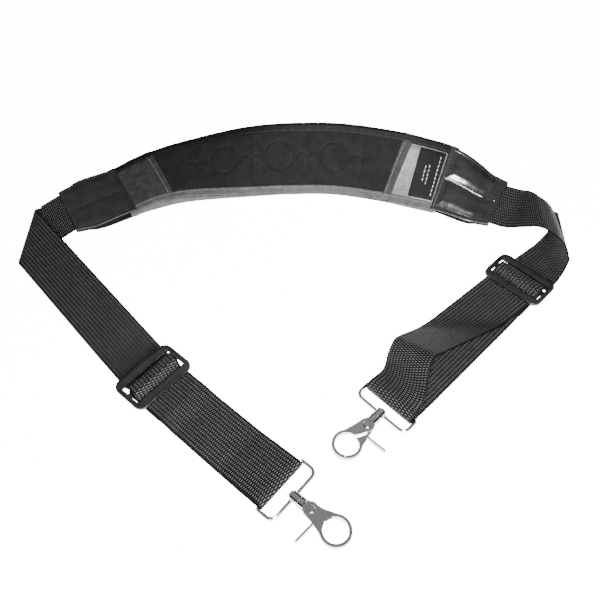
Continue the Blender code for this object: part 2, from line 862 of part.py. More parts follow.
def woven_label():
    """Small label lying on the right panel."""
    section = layer_section(
        LABEL_WIDTH,
        lambda place: fabric_top(place) + GAP,
        lambda place: fabric_top(place) + GAP + LABEL_THICK,
        6,
    )
    along_spine("woven_label", pad_places(*LABEL_STEPS), section, "label")


def tab_places(side):
    """Places along a tab, from its mouth to where it overlaps the pad."""
    overlap = TAB_OVERLAP / PAD_LENGTH
    mouth = 0
    end = pad_place(overlap)
    if side == "right":
        mouth = len(SPINE) - 1
        end = pad_place(1 - overlap)
    return [mouth + (end - mouth) * index / TAB_STEPS for index in range(TAB_STEPS + 1)]


def end_tab(side, name, sign):
    """One leatherette sheet of a tab, above or below: narrow on the webbing, wide on the pad."""
    mouth = WEB_THICK / 2 + 2 * GAP
    places = tab_places(side)

    def section(place):
        share = (place - places[0]) / (places[-1] - places[0])
        width = TAB_NARROW + (TAB_WIDE - TAB_NARROW) * share
        over_pad = binding_top(min(max(place, PAD_FIRST), PAD_LAST)) + GAP
        lift = mouth + (over_pad - mouth) * smoothstep((share - TAB_RISE_START) / TAB_RISE_SHARE)
        flat = widths(width, TAB_COLUMNS + 1)
        low = [(a, sign * lift) for a in flat]
        high = [(a, sign * (lift + TAB_THICK)) for a in reversed(flat)]
        return low + high

    along_spine(name + "_" + side, places, section, "leatherette")


# Hook frame and trigger hook. Local X runs from the bar towards the hook's ring.


def hook_matrix(side):
    """Where the hook's own axes lie. The right hook lies the other way up."""
    flip = Matrix.Rotation(math.pi if side == "right" else 0, 4, "X")
    return frame_matrix(bar_frame(side)) @ flip


def corner_arc(cx, cy, radius, start, end, steps):
    """Points on an arc, angles in degrees."""
    points = []
    for step in range(steps + 1):
        angle = math.radians(start + (end - start) * step / steps)
        points.append((cx + radius * math.cos(angle), cy + radius * math.sin(angle)))
    return points


def cylinder_x(name, radius, start, end, sides=20):
    """A plain cylinder along local X, used to join or cut."""
    data = bpy.data.meshes.new(name)
    cage = bmesh.new()
    turn = Matrix.Translation(((start + end) / 2, 0, 0)) @ Matrix.Rotation(math.pi / 2, 4, "Y")
    bmesh.ops.create_cone(
        cage, cap_ends=True, segments=sides, radius1=radius, radius2=radius, depth=end - start, matrix=turn
    )
    cage.to_mesh(data)
    cage.free()
    return add_object(name, data, None, CUTTERS)


def cylinder_z(name, radius, x, low, high, sides=20):
    """A plain cylinder along local Z at x, used to cut."""
    data = bpy.data.meshes.new(name)
    cage = bmesh.new()
    place = Matrix.Translation((x, 0, (low + high) / 2))
    bmesh.ops.create_cone(
        cage, cap_ends=True, segments=sides, radius1=radius, radius2=radius, depth=high - low, matrix=place
    )
    cage.to_mesh(data)
    cage.free()
    return add_object(name, data, None, CUTTERS)


def hook_frame(side):
    """Ring of round bar that the webbing holds, with the boss that the swivel pin turns in."""
    name = "hook_frame_" + side
    bar_corner = FRAME_CORNER_BAR
    out_corner = FRAME_CORNER_OUT
    near = FRAME_HALF - bar_corner
    far = FRAME_HALF - out_corner
    path = corner_arc(bar_corner, -near, bar_corner, 180, 270, 3)
    path += corner_arc(FRAME_REACH - out_corner, -far, out_corner, 270, 360, 5)
    path += corner_arc(FRAME_REACH - out_corner, far, out_corner, 0, 90, 5)
    path += corner_arc(bar_corner, near, bar_corner, 90, 180, 3)
    data = bpy.data.curves.new(name, "CURVE")
    data.dimensions = "3D"
    data.bevel_depth = BAR_RADIUS
    data.bevel_resolution = 2
    spline = data.splines.new("POLY")
    spline.points.add(len(path) - 1)
    for point, (x, y) in zip(spline.points, path):
        point.co = (x, y, 0, 1)
    spline.use_cyclic_u = True
    made = to_mesh(add_object(name + "_wire", data, "chrome"), name, "chrome")
    boss = cylinder_x("boss", BOSS_RADIUS, BOSS_START, BOSS_END)
    made = combine(made, boss, "UNION")
    bore = cylinder_x("bore", PIN_HOLE, BORE_START, BOSS_END + CUT_REACH)
    made = combine(made, bore, "DIFFERENCE")
    put_on_axis(made, hook_matrix(side), 0)


def turned(name, profile, kind, steps=20):
    """A solid of revolution about local Z from a profile (radius, height) listed downwards."""
    data = bpy.data.meshes.new(name)
    cage = bmesh.new()
    verts = [cage.verts.new((radius, 0, height)) for radius, height in profile]
    for above, below in zip(verts, verts[1:]):
        cage.edges.new((above, below))
    cage.to_mesh(data)
    cage.free()
    made = add_object(name, data, kind)
    spin = made.modifiers.new("turn", "SCREW")
    spin.steps = steps
    spin.render_steps = steps
    spin.use_merge_vertices = True
    spin.merge_threshold = 0.00001
    return made


def swivel_pin(side):
    """Headed pin that holds the hook in the frame's boss and lets it turn."""
    head_low = BOSS_START - GAP
    head_high = head_low - PIN_HEAD_THICK
    end = COLLAR_START + PIN_DEPTH
    profile = (
        (0, -head_high),
        (PIN_HEAD_RADIUS - PIN_HEAD_EDGE, -head_high),
        (PIN_HEAD_RADIUS, -head_high - PIN_HEAD_EDGE),
        (PIN_HEAD_RADIUS, -head_low),
        (PIN_RADIUS, -head_low),
        (PIN_RADIUS, -end),
        (0, -end),
    )
    made = turned("swivel_pin_turned", profile, "chrome")
    made = to_mesh(made, "swivel_pin_" + side, "chrome")
    made.data.transform(Matrix.Rotation(-math.pi / 2, 4, "Y"))
    put_on_axis(made, hook_matrix(side), 0)


def claw_outline(sign):
    """One jaw's flat outline: ear round the rivet, neck, and ring arc past the axis."""
    outer = corner_arc(RING_AT, 0, RING_OUTER, 128, -LAP_ANGLE, 18)
    inner = corner_arc(RING_AT, 0, RING_INNER, -LAP_ANGLE, 172, 20)
    ear_arc = corner_arc(RIVET_AT, 0, EAR_RADIUS, 290, 100, 12)
    shoulder = Vector((RIVET_AT, 0)) + SHOULDER_FROM_RIVET
    throat = [Vector((RING_AT, 0)) + THROAT_FROM_RING, Vector((RIVET_AT, 0)) + THROAT_FROM_RIVET]
    outline = [*ear_arc, shoulder, *outer, *inner, *throat]
    return [(x, sign * y) for x, y in outline]


def jaw_filler(sign):
    """The full-thickness part of a jaw, which stops short of the other jaw at both ends."""
    outer = corner_arc(RING_AT, 0, RING_OUTER, 126, LAP_ANGLE + 3, 12)
    inner = corner_arc(RING_AT, 0, RING_INNER, LAP_ANGLE + 3, 146, 14)
    root = Vector((RIVET_AT, 0)) + FILLER_FROM_RIVET
    return [(x, sign * y) for x, y in [root, *outer, *inner]]


def plate(name, outline, low, high, kind):
    """A flat plate between two heights."""
    made = flat_outline(name + "_outline", [outline], high - low, kind)
    made.location.z = (low + high) / 2
    return to_mesh(made, name, kind)


def hook_body(side):
    """Fixed half of the hook: collar, ear below the lever and the jaw on the plus Y side."""
    name = "hook_body_" + side
    made = plate(name, claw_outline(1), -HALF_THICK, -LAP, "chrome")
    filler = plate("filler", jaw_filler(1), -HALF_THICK * FILLER_SHARE, HALF_THICK, "chrome")
    made = combine(made, filler, "UNION")
    collar = cylinder_x("collar", COLLAR_RADIUS, COLLAR_START, COLLAR_END)
    made = combine(made, collar, "UNION")
    keep_clear = cylinder_z("clear", EAR_RADIUS + ROOT_CLEAR, RIVET_AT, -LAP, CUT_REACH, 28)
    made = combine(made, keep_clear, "DIFFERENCE")
    socket = cylinder_x("socket", PIN_HOLE, COLLAR_START - CUT_REACH, COLLAR_START + SOCKET_DEPTH)
    made = combine(made, socket, "DIFFERENCE")
    hole = cylinder_z("hole", RIVET_HOLE, RIVET_AT, -CUT_REACH, CUT_REACH)
    made = combine(made, hole, "DIFFERENCE")
    recess = cylinder_z("recess", RECESS_RADIUS, RIVET_AT, -LAP - RECESS_DEPTH, LAP)
    made = combine(made, recess, "DIFFERENCE")
    put_on_axis(made, hook_matrix(side), 0)


def trigger_lever(side):
    """Moving half of the hook: ear above the body, jaw on the minus Y side and thumb lever."""
    name = "trigger_lever_" + side
    made = plate(name, claw_outline(-1), LAP, HALF_THICK, "chrome")
    filler = plate("filler", jaw_filler(-1), -HALF_THICK, HALF_THICK * FILLER_SHARE, "chrome")
    made = combine(made, filler, "UNION")
    half = LEVER_THICK / 2
    thumb = [
        (LEVER_AT - half, -LEVER_ROOT),
        (LEVER_AT - half - LEVER_LEAN, -LEVER_TIP),
        (LEVER_AT + half - LEVER_LEAN, -LEVER_TIP),
        (LEVER_AT + half, -LEVER_ROOT),
    ]
    lever = plate("thumb", thumb, -LEVER_HALF_HEIGHT, LEVER_HALF_HEIGHT, "chrome")
    made = combine(made, lever, "UNION")
    hole = cylinder_z("hole", RIVET_HOLE, RIVET_AT, -CUT_REACH, CUT_REACH)
    made = combine(made, hole, "DIFFERENCE")
    recess = cylinder_z("recess", RECESS_RADIUS, RIVET_AT, -LAP, LAP + RECESS_DEPTH)
    made = combine(made, recess, "DIFFERENCE")
    put_on_axis(made, hook_matrix(side), RIVET_AT)


def hook_rivet(side):
    """Rivet through both ears, headed on both faces."""
    inside = HALF_THICK + GAP
    outside = inside + RIVET_HEAD_THICK
    edge = RIVET_HEAD_RADIUS - RIVET_HEAD_EDGE
    profile = (
        (0, outside),
        (edge, outside),
        (RIVET_HEAD_RADIUS, outside - RIVET_HEAD_EDGE),
        (RIVET_HEAD_RADIUS, inside),
        (RIVET_RADIUS, inside),
        (RIVET_RADIUS, -inside),
        (RIVET_HEAD_RADIUS, -inside),
        (RIVET_HEAD_RADIUS, RIVET_HEAD_EDGE - outside),
        (edge, -outside),
        (0, -outside),
    )
    made = turned("hook_rivet_" + side, profile, "chrome")
    made.matrix_world = hook_matrix(side) @ Matrix.Translation((RIVET_AT, 0, 0))
    smooth(made)


def trigger_spring(side):
    """Torsion spring round the rivet, in the recess between the two ears."""
    name = "trigger_spring_" + side
    steps = SPRING_STEPS * SPRING_TURNS
    data = bpy.data.curves.new(name, "CURVE")
    data.dimensions = "3D"
    data.bevel_depth = SPRING_WIRE
    data.bevel_resolution = 1
    data.use_fill_caps = True
    spline = data.splines.new("POLY")
    spline.points.add(steps)
    for index, point in enumerate(spline.points):
        angle = 2 * math.pi * SPRING_TURNS * index / steps
        height = SPRING_HEIGHT * (index / steps - 0.5)
        point.co = (SPRING_RADIUS * math.cos(angle), SPRING_RADIUS * math.sin(angle), height, 1)
    made = to_mesh(add_object(name + "_wire", data, "spring_steel"), name, "spring_steel")
    made.matrix_world = hook_matrix(side) @ Matrix.Translation((RIVET_AT, 0, 0))
    smooth(made)


def main():
    """Build every piece of the strap."""
    pad_layers()
    edge_bindings()
    woven_label()
    for side in ("left", "right"):
        end_tab(side, "tab_face", 1)
        end_tab(side, "tab_back", -1)
        webbing_upper(side)
        webbing_loop(side)
        tri_glide(side)
        hook_frame(side)
        swivel_pin(side)
        hook_body(side)
        trigger_lever(side)
        hook_rivet(side)
        trigger_spring(side)


main()
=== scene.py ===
"""Looks of the padded saxophone strap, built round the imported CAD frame. Metres and degrees.

The hard parts are the CAD nodes with rounded edges and finer materials. The webbings, the pad,
its bindings, the label and the end tabs are modelled here along the same routes as their CAD
solids, with weave, quilting, seams and stitches.
"""

import math

import bpy
import numpy as np
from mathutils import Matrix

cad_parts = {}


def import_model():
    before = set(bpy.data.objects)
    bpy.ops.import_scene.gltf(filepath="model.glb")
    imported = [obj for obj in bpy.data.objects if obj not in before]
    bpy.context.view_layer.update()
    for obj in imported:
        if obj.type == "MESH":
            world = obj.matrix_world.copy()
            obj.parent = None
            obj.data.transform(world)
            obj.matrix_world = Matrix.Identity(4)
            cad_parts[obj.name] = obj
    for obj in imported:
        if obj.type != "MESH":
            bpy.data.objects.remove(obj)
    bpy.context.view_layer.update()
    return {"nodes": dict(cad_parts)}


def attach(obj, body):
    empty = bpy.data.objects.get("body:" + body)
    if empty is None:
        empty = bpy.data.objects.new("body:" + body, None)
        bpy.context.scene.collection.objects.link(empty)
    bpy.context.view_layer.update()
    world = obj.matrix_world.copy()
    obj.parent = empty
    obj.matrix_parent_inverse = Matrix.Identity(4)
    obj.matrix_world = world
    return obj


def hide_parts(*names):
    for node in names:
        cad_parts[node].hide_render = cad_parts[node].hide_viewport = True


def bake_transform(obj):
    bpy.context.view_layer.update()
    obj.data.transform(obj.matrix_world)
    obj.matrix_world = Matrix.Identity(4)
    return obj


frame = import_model()

SIDES = ("left", "right")
UP = np.array((0.0, 0.0, 1.0))

# The strap's own origin in the plan that the routes are given in, as in the CAD source.
PLAN_ORIGIN = np.array((-0.00673, 0.38155, -0.0002))
GAP = 0.0003

# Webbing and the heights of its layers.
WEB_WIDTH = 0.050
WEB_THICK = 0.0016
LAYER = WEB_THICK + GAP
FOLD_CLEARANCE = GAP + WEB_THICK / 2
Z_FLOOR_LAYER = WEB_THICK / 2
Z_SECOND_LAYER = Z_FLOOR_LAYER + LAYER
Z_THIRD_LAYER = Z_SECOND_LAYER + LAYER
WEB_HOLD = 0.0125

# How the webbing rides over the tri-glide's bar and is sewn round it.
GLIDE_DEPTH = 0.039
GLIDE_THICK = 0.0032
GLIDE_TOP = Z_THIRD_LAYER + FOLD_CLEARANCE + GLIDE_THICK
LOOP_TOP = GLIDE_TOP + FOLD_CLEARANCE
WAVE_TOP = LOOP_TOP + LAYER
GLIDE_BAR_HALF = 0.0025
LOOP_SIDE = GLIDE_BAR_HALF + FOLD_CLEARANCE + 0.0001
WAVE_HALF = 0.0043
WAVE_FOOT_HOOK_SIDE = 0.0097
WAVE_FOOT_PAD_SIDE = 0.0127
WEB_JOIN = 0.0137
SEWN_TAIL = 0.034
SOFT_BEND = 0.0019
SKEW_START = 0.035
SKEW_FADE = 0.050
LOOP_SKEW_FADE = 0.020

# Where the loop's layers change height, from the ends of the tail and from the hook frame's bar.
TAIL_CLEAR = 0.003
TAIL_SLOPE_OVER = 0.017
TAIL_SLOPE_UNDER = 0.015
BAR_RISE = 0.045
BAR_LEVEL = 0.004
RETURN_RISE = 0.024
LAYER_BEND = 0.012
BAR_FOLD_TURN = 86
BAR_FOLD_ROWS = 19

# Weave of the webbing: short ribs in columns, each column half a pitch from the next.
RIB_PITCH = 0.0021
RIB_COLUMN = WEB_WIDTH / 15
RIB_DEPTH = 0.00034
COLUMN_VALLEY = 0.45
ROW_STEP = 0.00045
WEB_COLUMNS = 61
WEB_BODY = 0.00058
SELVAGE = 0.0011
SELVAGE_WAVE = 0.00016

# Padded part, from the middle outwards.
PAD_WIDTH = 0.078
PAD_FABRIC_WIDTH = 0.0758
CORE_HALF = 0.0033
CORE_HALF_AT_END = 0.0005
CORE_TAPER = 1.1
FACE_THICK = 0.0015
BINDING_THICK = 0.0008
BINDING_LEG = 0.0100
PAD_STATIONS = (
    (-0.202, 0.539, 0.0096, 3),
    (-0.170, 0.556, 0.0125, 6),
    (-0.136, 0.568, 0.0155, 13),
    (-0.099, 0.571, 0.0215, 24),
    (-0.058, 0.569, 0.0300, 39),
    (-0.014, 0.5685, 0.0345, 48),
    (0.041, 0.5675, 0.0350, 50),
    (0.096, 0.557, 0.0340, 47),
    (0.130, 0.549, 0.0310, 40),
    (0.161, 0.540, 0.0275, 32),
)

# End tabs and label.
TAB_WIDE = 0.0735
TAB_NARROW = 0.056
TAB_THICK = 0.0014
TAB_HOLD = 0.025
TAB_OVERLAP = 0.008
LABEL_WIDTH = 0.054
LABEL_SHARES = (0.9005, 0.9745)

# Webbing from tri-glide to tab, bends as (distance, skew, turn, radius); a positive turn curls up.
UPPER_RUNS = {
    "left": {
        "glide": (-0.13134, 0.30348),
        "heading": 133.0,
        "bends": (
            (0.0395, 18, 5, 0.120),
            (0.2220, -46.4, -172, 0.0041),
            (0.2339, -6, -5.8, 0.050),
        ),
        "length": 0.2815,
    },
    "right": {
        "glide": (0.2200, 0.4167),
        "heading": 38,
        "bends": (
            (0.0255, 42, 73, 0.030),
            (0.0642, 36, 89, 0.0177),
            (0.1085, 35.4, 61, 0.012),
            (0.1342, 0, -37, 0.025),
        ),
        "length": 0.1584,
    },
}

# Webbing from tri-glide to hook, whose upper layer stands up in a hump on the right side.
HOOK_BARS = {"left": (-0.0165, 0.2045), "right": (0.0805, 0.2790)}
HOOK_Z = 0.0050
# How high the webbing's upper layer passes over the bar, measured from the bar's middle.
LOOP_LIFT = {"left": 0.0027, "right": 0.0090}
BAR_RADIUS = 0.0016
SLACK_BENDS = {
    "left": None,
    "right": {
        "heading": 220.8,
        "bends": ((0.066, -50, 31, 0.040), (0.1514, 3.7, -56, 0.010)),
        "settle": (0.166, 0.208),
    },
}

# Camera, in the strap's own frame.
CAMERA_AT = (0.00673, -0.38155, 0.5072)
CAMERA_PITCH = 38
CAMERA_LENS = 38.88


def smoothstep(value):
    """0 below 0, 1 above 1 and a smooth step between."""
    value = np.clip(value, 0, 1)
    return value * value * (3 - 2 * value)


def lengths(vectors):
    """Length of each vector."""
    return np.linalg.norm(vectors, axis=-1, keepdims=True)


def distances(points):
    """Distance run along a line of points, up to each of them."""
    return np.concatenate(([0], np.cumsum(lengths(np.diff(points, axis=0))[:, 0])))


def bump(distance, width):
    """1 at distance 0, falling to 0 at width on either side."""
    return 1 - smoothstep(np.abs(distance) / width)


# Meshes from grids of points.


def closed_sheet(name, top, bottom, uv):
    """A closed sheet between two grids of points, its UVs in metres along and across."""
    rows, columns = top.shape[:2]
    count = rows * columns
    index = np.arange(count).reshape(rows, columns)
    upper = np.stack((index[:-1, :-1], index[1:, :-1], index[1:, 1:], index[:-1, 1:]), -1)
    upper = upper.reshape(-1, 4)
    walls = []
    for edge in (index[:, 0], index[-1, :], index[::-1, -1], index[0, ::-1]):
        walls.append(np.stack((edge[:-1], edge[:-1] + count, edge[1:] + count, edge[1:]), -1))
    quads = np.concatenate([upper, upper[:, ::-1] + count, *walls])
    points = np.concatenate([top.reshape(-1, 3), bottom.reshape(-1, 3)])
    return quad_object(name, points, quads, np.concatenate([uv.reshape(-1, 2)] * 2))


def quad_object(name, points, quads, uv=None):
    """A smooth-shaded object from points and faces of four corners."""
    data = bpy.data.meshes.new(name)
    data.vertices.add(len(points))
    data.vertices.foreach_set("co", points.astype(np.float32).ravel())
    data.loops.add(quads.size)
    data.loops.foreach_set("vertex_index", quads.astype(np.int32).ravel())
    data.polygons.add(len(quads))
    data.polygons.foreach_set("loop_start", np.arange(0, quads.size, 4, dtype=np.int32))
    data.update(calc_edges=True)
    data.polygons.foreach_set("use_smooth", np.ones(len(quads), bool))
    if uv is not None:
        layer = data.uv_layers.new(name="along_across")
        layer.data.foreach_set("uv", uv[quads.ravel()].astype(np.float32).ravel())
    return new_object(name, data)


def new_object(name, data):
    """An object in the scene with the given data."""
    made = bpy.data.objects.new(name, data)
    bpy.context.scene.collection.objects.link(made)
    return made


def grid_normals(points):
    """Unit normals of a grid of points, pointing up its own along x across side."""
    along = np.gradient(points, axis=0)
    across = np.gradient(points, axis=1)
    normals = np.cross(along, across)
    return normals / lengths(normals)


# Bent strips: flat strips that roll round straight axes, as in the CAD source.


def ground_frame(x, y, z, heading):
    """Origin, forward, left and up of a level frame given in plan coordinates."""
    turn = math.radians(heading)
    forward = np.array((math.cos(turn), math.sin(turn), 0.0))
    left = np.array((-math.sin(turn), math.cos(turn), 0.0))
    return np.array((x, y, z)) - PLAN_ORIGIN, forward, left, UP


def strip_points(start, bends, s, w):
    """Where points s along and w across a flat strip lie once it rolls round its bends."""
    origin, along, across, up = start
    flat = np.zeros(2)
    placed = np.zeros((*s.shape, 3))
    waiting = np.ones(s.shape, bool)
    for distance, skew, turn, radius in bends:
        skew = math.radians(skew)
        turn = math.radians(turn)
        side = math.copysign(1, turn)
        reach = radius * abs(turn)
        ahead = np.array((math.cos(skew), -math.sin(skew)))
        beside = np.array((math.sin(skew), math.cos(skew)))
        base = origin + (distance - flat[0]) * along - flat[1] * across
        ahead_3d = ahead[0] * along + ahead[1] * across
        beside_3d = beside[0] * along + beside[1] * across
        depth = (s - distance) * ahead[0] + w * ahead[1]
        shift = (s - distance) * beside[0] + w * beside[1]
        straight = (s - flat[0])[..., None] * along + (w - flat[1])[..., None] * across
        before = waiting & (depth <= 0)
        placed[before] = (origin + straight)[before]
        angle = depth / radius
        forth = (radius * np.sin(angle))[..., None] * ahead_3d
        rise = (radius * side * (1 - np.cos(angle)))[..., None] * up
        rolled = base + shift[..., None] * beside_3d + forth + rise
        inside = waiting & (depth > 0) & (depth < reach)
        placed[inside] = rolled[inside]
        waiting &= depth >= reach
        origin = base + radius * math.sin(abs(turn)) * ahead_3d
        origin = origin + radius * side * (1 - math.cos(turn)) * up
        turned = math.cos(turn) * ahead_3d + math.sin(turn) * up
        up = math.cos(turn) * up - math.sin(turn) * ahead_3d
        along = ahead[0] * turned + beside[0] * beside_3d
        across = ahead[1] * turned + beside[1] * beside_3d
        flat = np.array((distance, 0.0)) + reach * ahead
    straight = (s - flat[0])[..., None] * along + (w - flat[1])[..., None] * across
    placed[waiting] = (origin + straight)[waiting]
    return placed


def profile_bends(corners, radius):
    """Bends of a strip that follows the side-view corners (distance, height), and its length."""
    points = np.array(corners)
    legs = np.diff(points, axis=0)
    pitch = np.unwrap(np.arctan2(legs[:, 1], legs[:, 0]))
    turns = np.diff(pitch)
    cuts = np.concatenate(([0], radius * np.tan(np.abs(turns) / 2), [0]))
    runs = lengths(legs)[:, 0] - cuts[:-1] - cuts[1:]
    travelled = 0
    bends = []
    for run, turn in zip(runs, turns):
        travelled += run
        bends.append((travelled, 0, math.degrees(turn), radius))
        travelled += radius * abs(turn)
    return bends, travelled + runs[-1]


def web_grid(stations):
    """Places along and across the webbing for the given stations along it."""
    across = np.linspace(-WEB_WIDTH / 2, WEB_WIDTH / 2, WEB_COLUMNS)
    return np.meshgrid(np.asarray(stations), across, indexing="ij")


def loop_line(side):
    """Length and heading of the line from the middle of the tri-glide to the hook frame's bar."""
    dx, dy = np.subtract(HOOK_BARS[side], UPPER_RUNS[side]["glide"])
    return math.hypot(dx, dy), math.degrees(math.atan2(dy, dx))


def glide_frame(side):
    """Frame at the middle of the tri-glide, on the table, looking towards the hook."""
    return ground_frame(*UPPER_RUNS[side]["glide"], 0, loop_line(side)[1])


def glide_skew(side, heading):
    """Angle between a webbing's heading and the tri-glide's own axis."""
    return (heading - loop_line(side)[1] + 90) % 180 - 90


# Webbing from tri-glide to tab.


def upper_route(side):
    """Start frame, bends and length of the webbing from over the tri-glide's bar to the tab."""
    run = UPPER_RUNS[side]
    over_bar = (
        (-WEB_JOIN, Z_THIRD_LAYER),
        (-WAVE_FOOT_HOOK_SIDE, Z_THIRD_LAYER),
        (-WAVE_HALF, WAVE_TOP),
        (WAVE_HALF, WAVE_TOP),
        (WAVE_FOOT_PAD_SIDE, Z_FLOOR_LAYER),
        (GLIDE_DEPTH / 2, Z_FLOOR_LAYER),
    )
    wave, wave_length = profile_bends(over_bar, SOFT_BEND)
    skew = glide_skew(side, run["heading"])
    longer = 1 / math.cos(math.radians(skew))
    wave = [(distance * longer, skew, turn, radius) for distance, _, turn, radius in wave]
    extra = (wave_length - GLIDE_DEPTH / 2) * longer
    folds = [(distance + extra, *bend) for distance, *bend in run["bends"]]
    origin, forward, left, up = ground_frame(*run["glide"], Z_THIRD_LAYER, run["heading"])
    start = (origin - WEB_JOIN * longer * forward, forward, left, up)
    return start, wave + folds, run["length"] + extra


def upper_rows(side):
    """Rows of points of the webbing from tri-glide to tab."""
    start, bends, length = upper_route(side)
    count = round((length + WEB_HOLD) / ROW_STEP)
    s, w = web_grid(np.linspace(0, length + WEB_HOLD, count + 1))
    skew = glide_skew(side, UPPER_RUNS[side]["heading"])
    fading = skew * (1 - smoothstep((s - SKEW_START) / SKEW_FADE))
    return strip_points(start, bends, s + w * np.tan(np.radians(fading)), w)


# Webbing loop from tri-glide round the hook frame's bar and back.


def profile_rows(start, corners, radius):
    """Rows of a strip that follows side-view corners in a frame."""
    bends, length = profile_bends(corners, radius)
    origin, forward, left, up = start
    rise = np.subtract(corners[1], corners[0])
    pitch = math.atan2(rise[1], rise[0])
    first = origin + corners[0][0] * forward + corners[0][1] * up
    along = math.cos(pitch) * forward + math.sin(pitch) * up
    normal = math.cos(pitch) * up - math.sin(pitch) * forward
    s, w = web_grid(np.arange(0, length, ROW_STEP))
    return strip_points((first, along, left, normal), bends, s, w)


def top_layer(side, reach):
    """Rows of the loop's upper layer, from the tri-glide to the top of the hook frame's bar."""
    over = HOOK_Z + LOOP_LIFT[side]
    slack = SLACK_BENDS[side]
    origin, forward, left, up = glide_frame(side)
    if slack is None:
        corners = (
            (WEB_JOIN + GAP, Z_THIRD_LAYER),
            (SEWN_TAIL + TAIL_CLEAR, Z_THIRD_LAYER),
            (SEWN_TAIL + TAIL_CLEAR + TAIL_SLOPE_OVER, Z_SECOND_LAYER),
            (reach - BAR_RISE, Z_SECOND_LAYER),
            (reach - BAR_LEVEL, over),
            (reach, over),
        )
        return profile_rows((origin, forward, left, up), corners, LAYER_BEND)
    start = ground_frame(*UPPER_RUNS[side]["glide"], Z_THIRD_LAYER, slack["heading"])
    skew = glide_skew(side, slack["heading"])
    begin, end = slack["settle"]
    first = (WEB_JOIN + GAP) / math.cos(math.radians(skew))
    s, w = web_grid(np.arange(first, end, ROW_STEP))
    fading = skew * (1 - smoothstep((s - first) / LOOP_SKEW_FADE))
    free = strip_points(start, slack["bends"], s + w * np.tan(np.radians(fading)), w)
    at_bar = reach - (end - s)
    seated = origin + at_bar[..., None] * forward + w[..., None] * left + over * up
    settled = smoothstep((s - begin) / (end - begin))[..., None]
    return free + (seated - free) * settled


def bar_fold(side):
    """Rows of the half turn round the hook frame's bar, from its top to its underside."""
    origin, forward, left, up = ground_frame(*HOOK_BARS[side], HOOK_Z, loop_line(side)[1])
    radius = (LOOP_LIFT[side] + BAR_RADIUS + FOLD_CLEARANCE) / 2
    origin = origin + (LOOP_LIFT[side] - radius) * up
    angle, w = web_grid(np.radians(np.linspace(BAR_FOLD_TURN, -BAR_FOLD_TURN, BAR_FOLD_ROWS)))
    forth = (radius * np.cos(angle))[..., None] * forward
    rise = (radius * np.sin(angle))[..., None] * up
    return origin + forth + rise + w[..., None] * left


def return_layer(side, reach):
    """Rows of the loop's lower layer, back to the tri-glide, round its bar and into the tail."""
    under = HOOK_Z - BAR_RADIUS - FOLD_CLEARANCE
    corners = (
        (-reach, under),
        (-reach + BAR_LEVEL, under),
        (-reach + RETURN_RISE, Z_FLOOR_LAYER),
        (-SEWN_TAIL - TAIL_CLEAR - TAIL_SLOPE_UNDER, Z_FLOOR_LAYER),
        (-SEWN_TAIL - TAIL_CLEAR, Z_SECOND_LAYER),
        (-LOOP_SIDE, Z_SECOND_LAYER),
        (-LOOP_SIDE, LOOP_TOP),
        (LOOP_SIDE, LOOP_TOP),
        (LOOP_SIDE, Z_FLOOR_LAYER),
        (-SEWN_TAIL, Z_FLOOR_LAYER),
    )
    origin, forward, left, up = glide_frame(side)
    return profile_rows((origin, -forward, left, up), corners, SOFT_BEND)


def resampled(rows):
    """Rows evenly spaced along the strip's middle, and how far along it each one lies."""
    run = distances(rows[:, WEB_COLUMNS // 2])
    even = np.linspace(0, run[-1], round(run[-1] / ROW_STEP) + 1)
    index = np.clip(np.searchsorted(run, even, side="right") - 1, 0, len(run) - 2)
    part = ((even - run[index]) / (run[index + 1] - run[index]))[:, None, None]
    return rows[index] * (1 - part) + rows[index + 1] * part, even


def softened(rows, times=2):
    """Rows with their creases eased a little along the strip."""
    for _ in range(times):
        inner = (rows[:-2] + 2 * rows[1:-1] + rows[2:]) / 4
        rows = np.concatenate([rows[:1], inner, rows[-1:]])
    return rows


def rib_height(s, w, shift=0.0):
    """Height of the weave: short ribs across the webbing, staggered from column to column."""
    column = w / RIB_COLUMN
    phase = s / RIB_PITCH + 0.5 * np.mod(np.floor(column), 2) + shift
    rib = 0.5 + 0.5 * np.cos(2 * np.pi * phase)
    inside = 1 - COLUMN_VALLEY * (1 - np.abs(np.sin(np.pi * column)) ** 0.35)
    return RIB_DEPTH * rib * inside


def mark(made, name, values):
    """Store a value from 0 to 1 at each vertex of a sheet, the same on both faces."""
    attribute = made.data.attributes.new(name, "FLOAT", "POINT")
    attribute.data.foreach_set("value", np.concatenate([values.ravel()] * 2).astype(np.float32))


def woven(name, rows):
    """A closed webbing through rows of points, ribbed on both faces, with scalloped edges."""
    rows, run = resampled(softened(rows))
    s, w = web_grid(run)
    normals = grid_normals(rows)
    across = np.gradient(rows, axis=1)
    across /= lengths(across)
    inwards = np.clip((WEB_WIDTH / 2 - np.abs(w)) / SELVAGE, 0, 1)
    body = WEB_BODY * np.sqrt(1 - 0.9 * (1 - inwards) ** 2)
    fade = smoothstep(inwards)
    wave = SELVAGE_WAVE * np.cos(2 * np.pi * s / RIB_PITCH) * np.sign(w) * (1 - fade)
    middle = rows + wave[..., None] * across
    top = middle + (body + fade * rib_height(s, w))[..., None] * normals
    bottom = middle - (body + fade * rib_height(s, w, 0.5))[..., None] * normals
    made = closed_sheet(name, top, bottom, np.stack((s, w), -1))
    # The rib height is kept for the material, which turns it into painted highlight on the crowns and
    # painted shade in the valleys.
    mark(made, "weave", fade * rib_height(s, w) / RIB_DEPTH)
    return made, run[-1]


def webbings(side):
    """Both webbings of one side, each a fixed mesh bent along its route."""
    upper, length = woven("webbing_to_pad_" + side, upper_rows(side))
    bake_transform(upper)
    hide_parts("webbing_upper_" + side)
    reach = loop_line(side)[0]
    rows = np.concatenate([top_layer(side, reach), bar_fold(side), return_layer(side, reach)])
    loop, length = woven("webbing_hook_loop_" + side, rows)
    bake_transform(loop)
    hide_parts("webbing_loop_" + side)
    return upper, loop


# Padded part: layers that follow one spine from tab mouth to tab mouth.

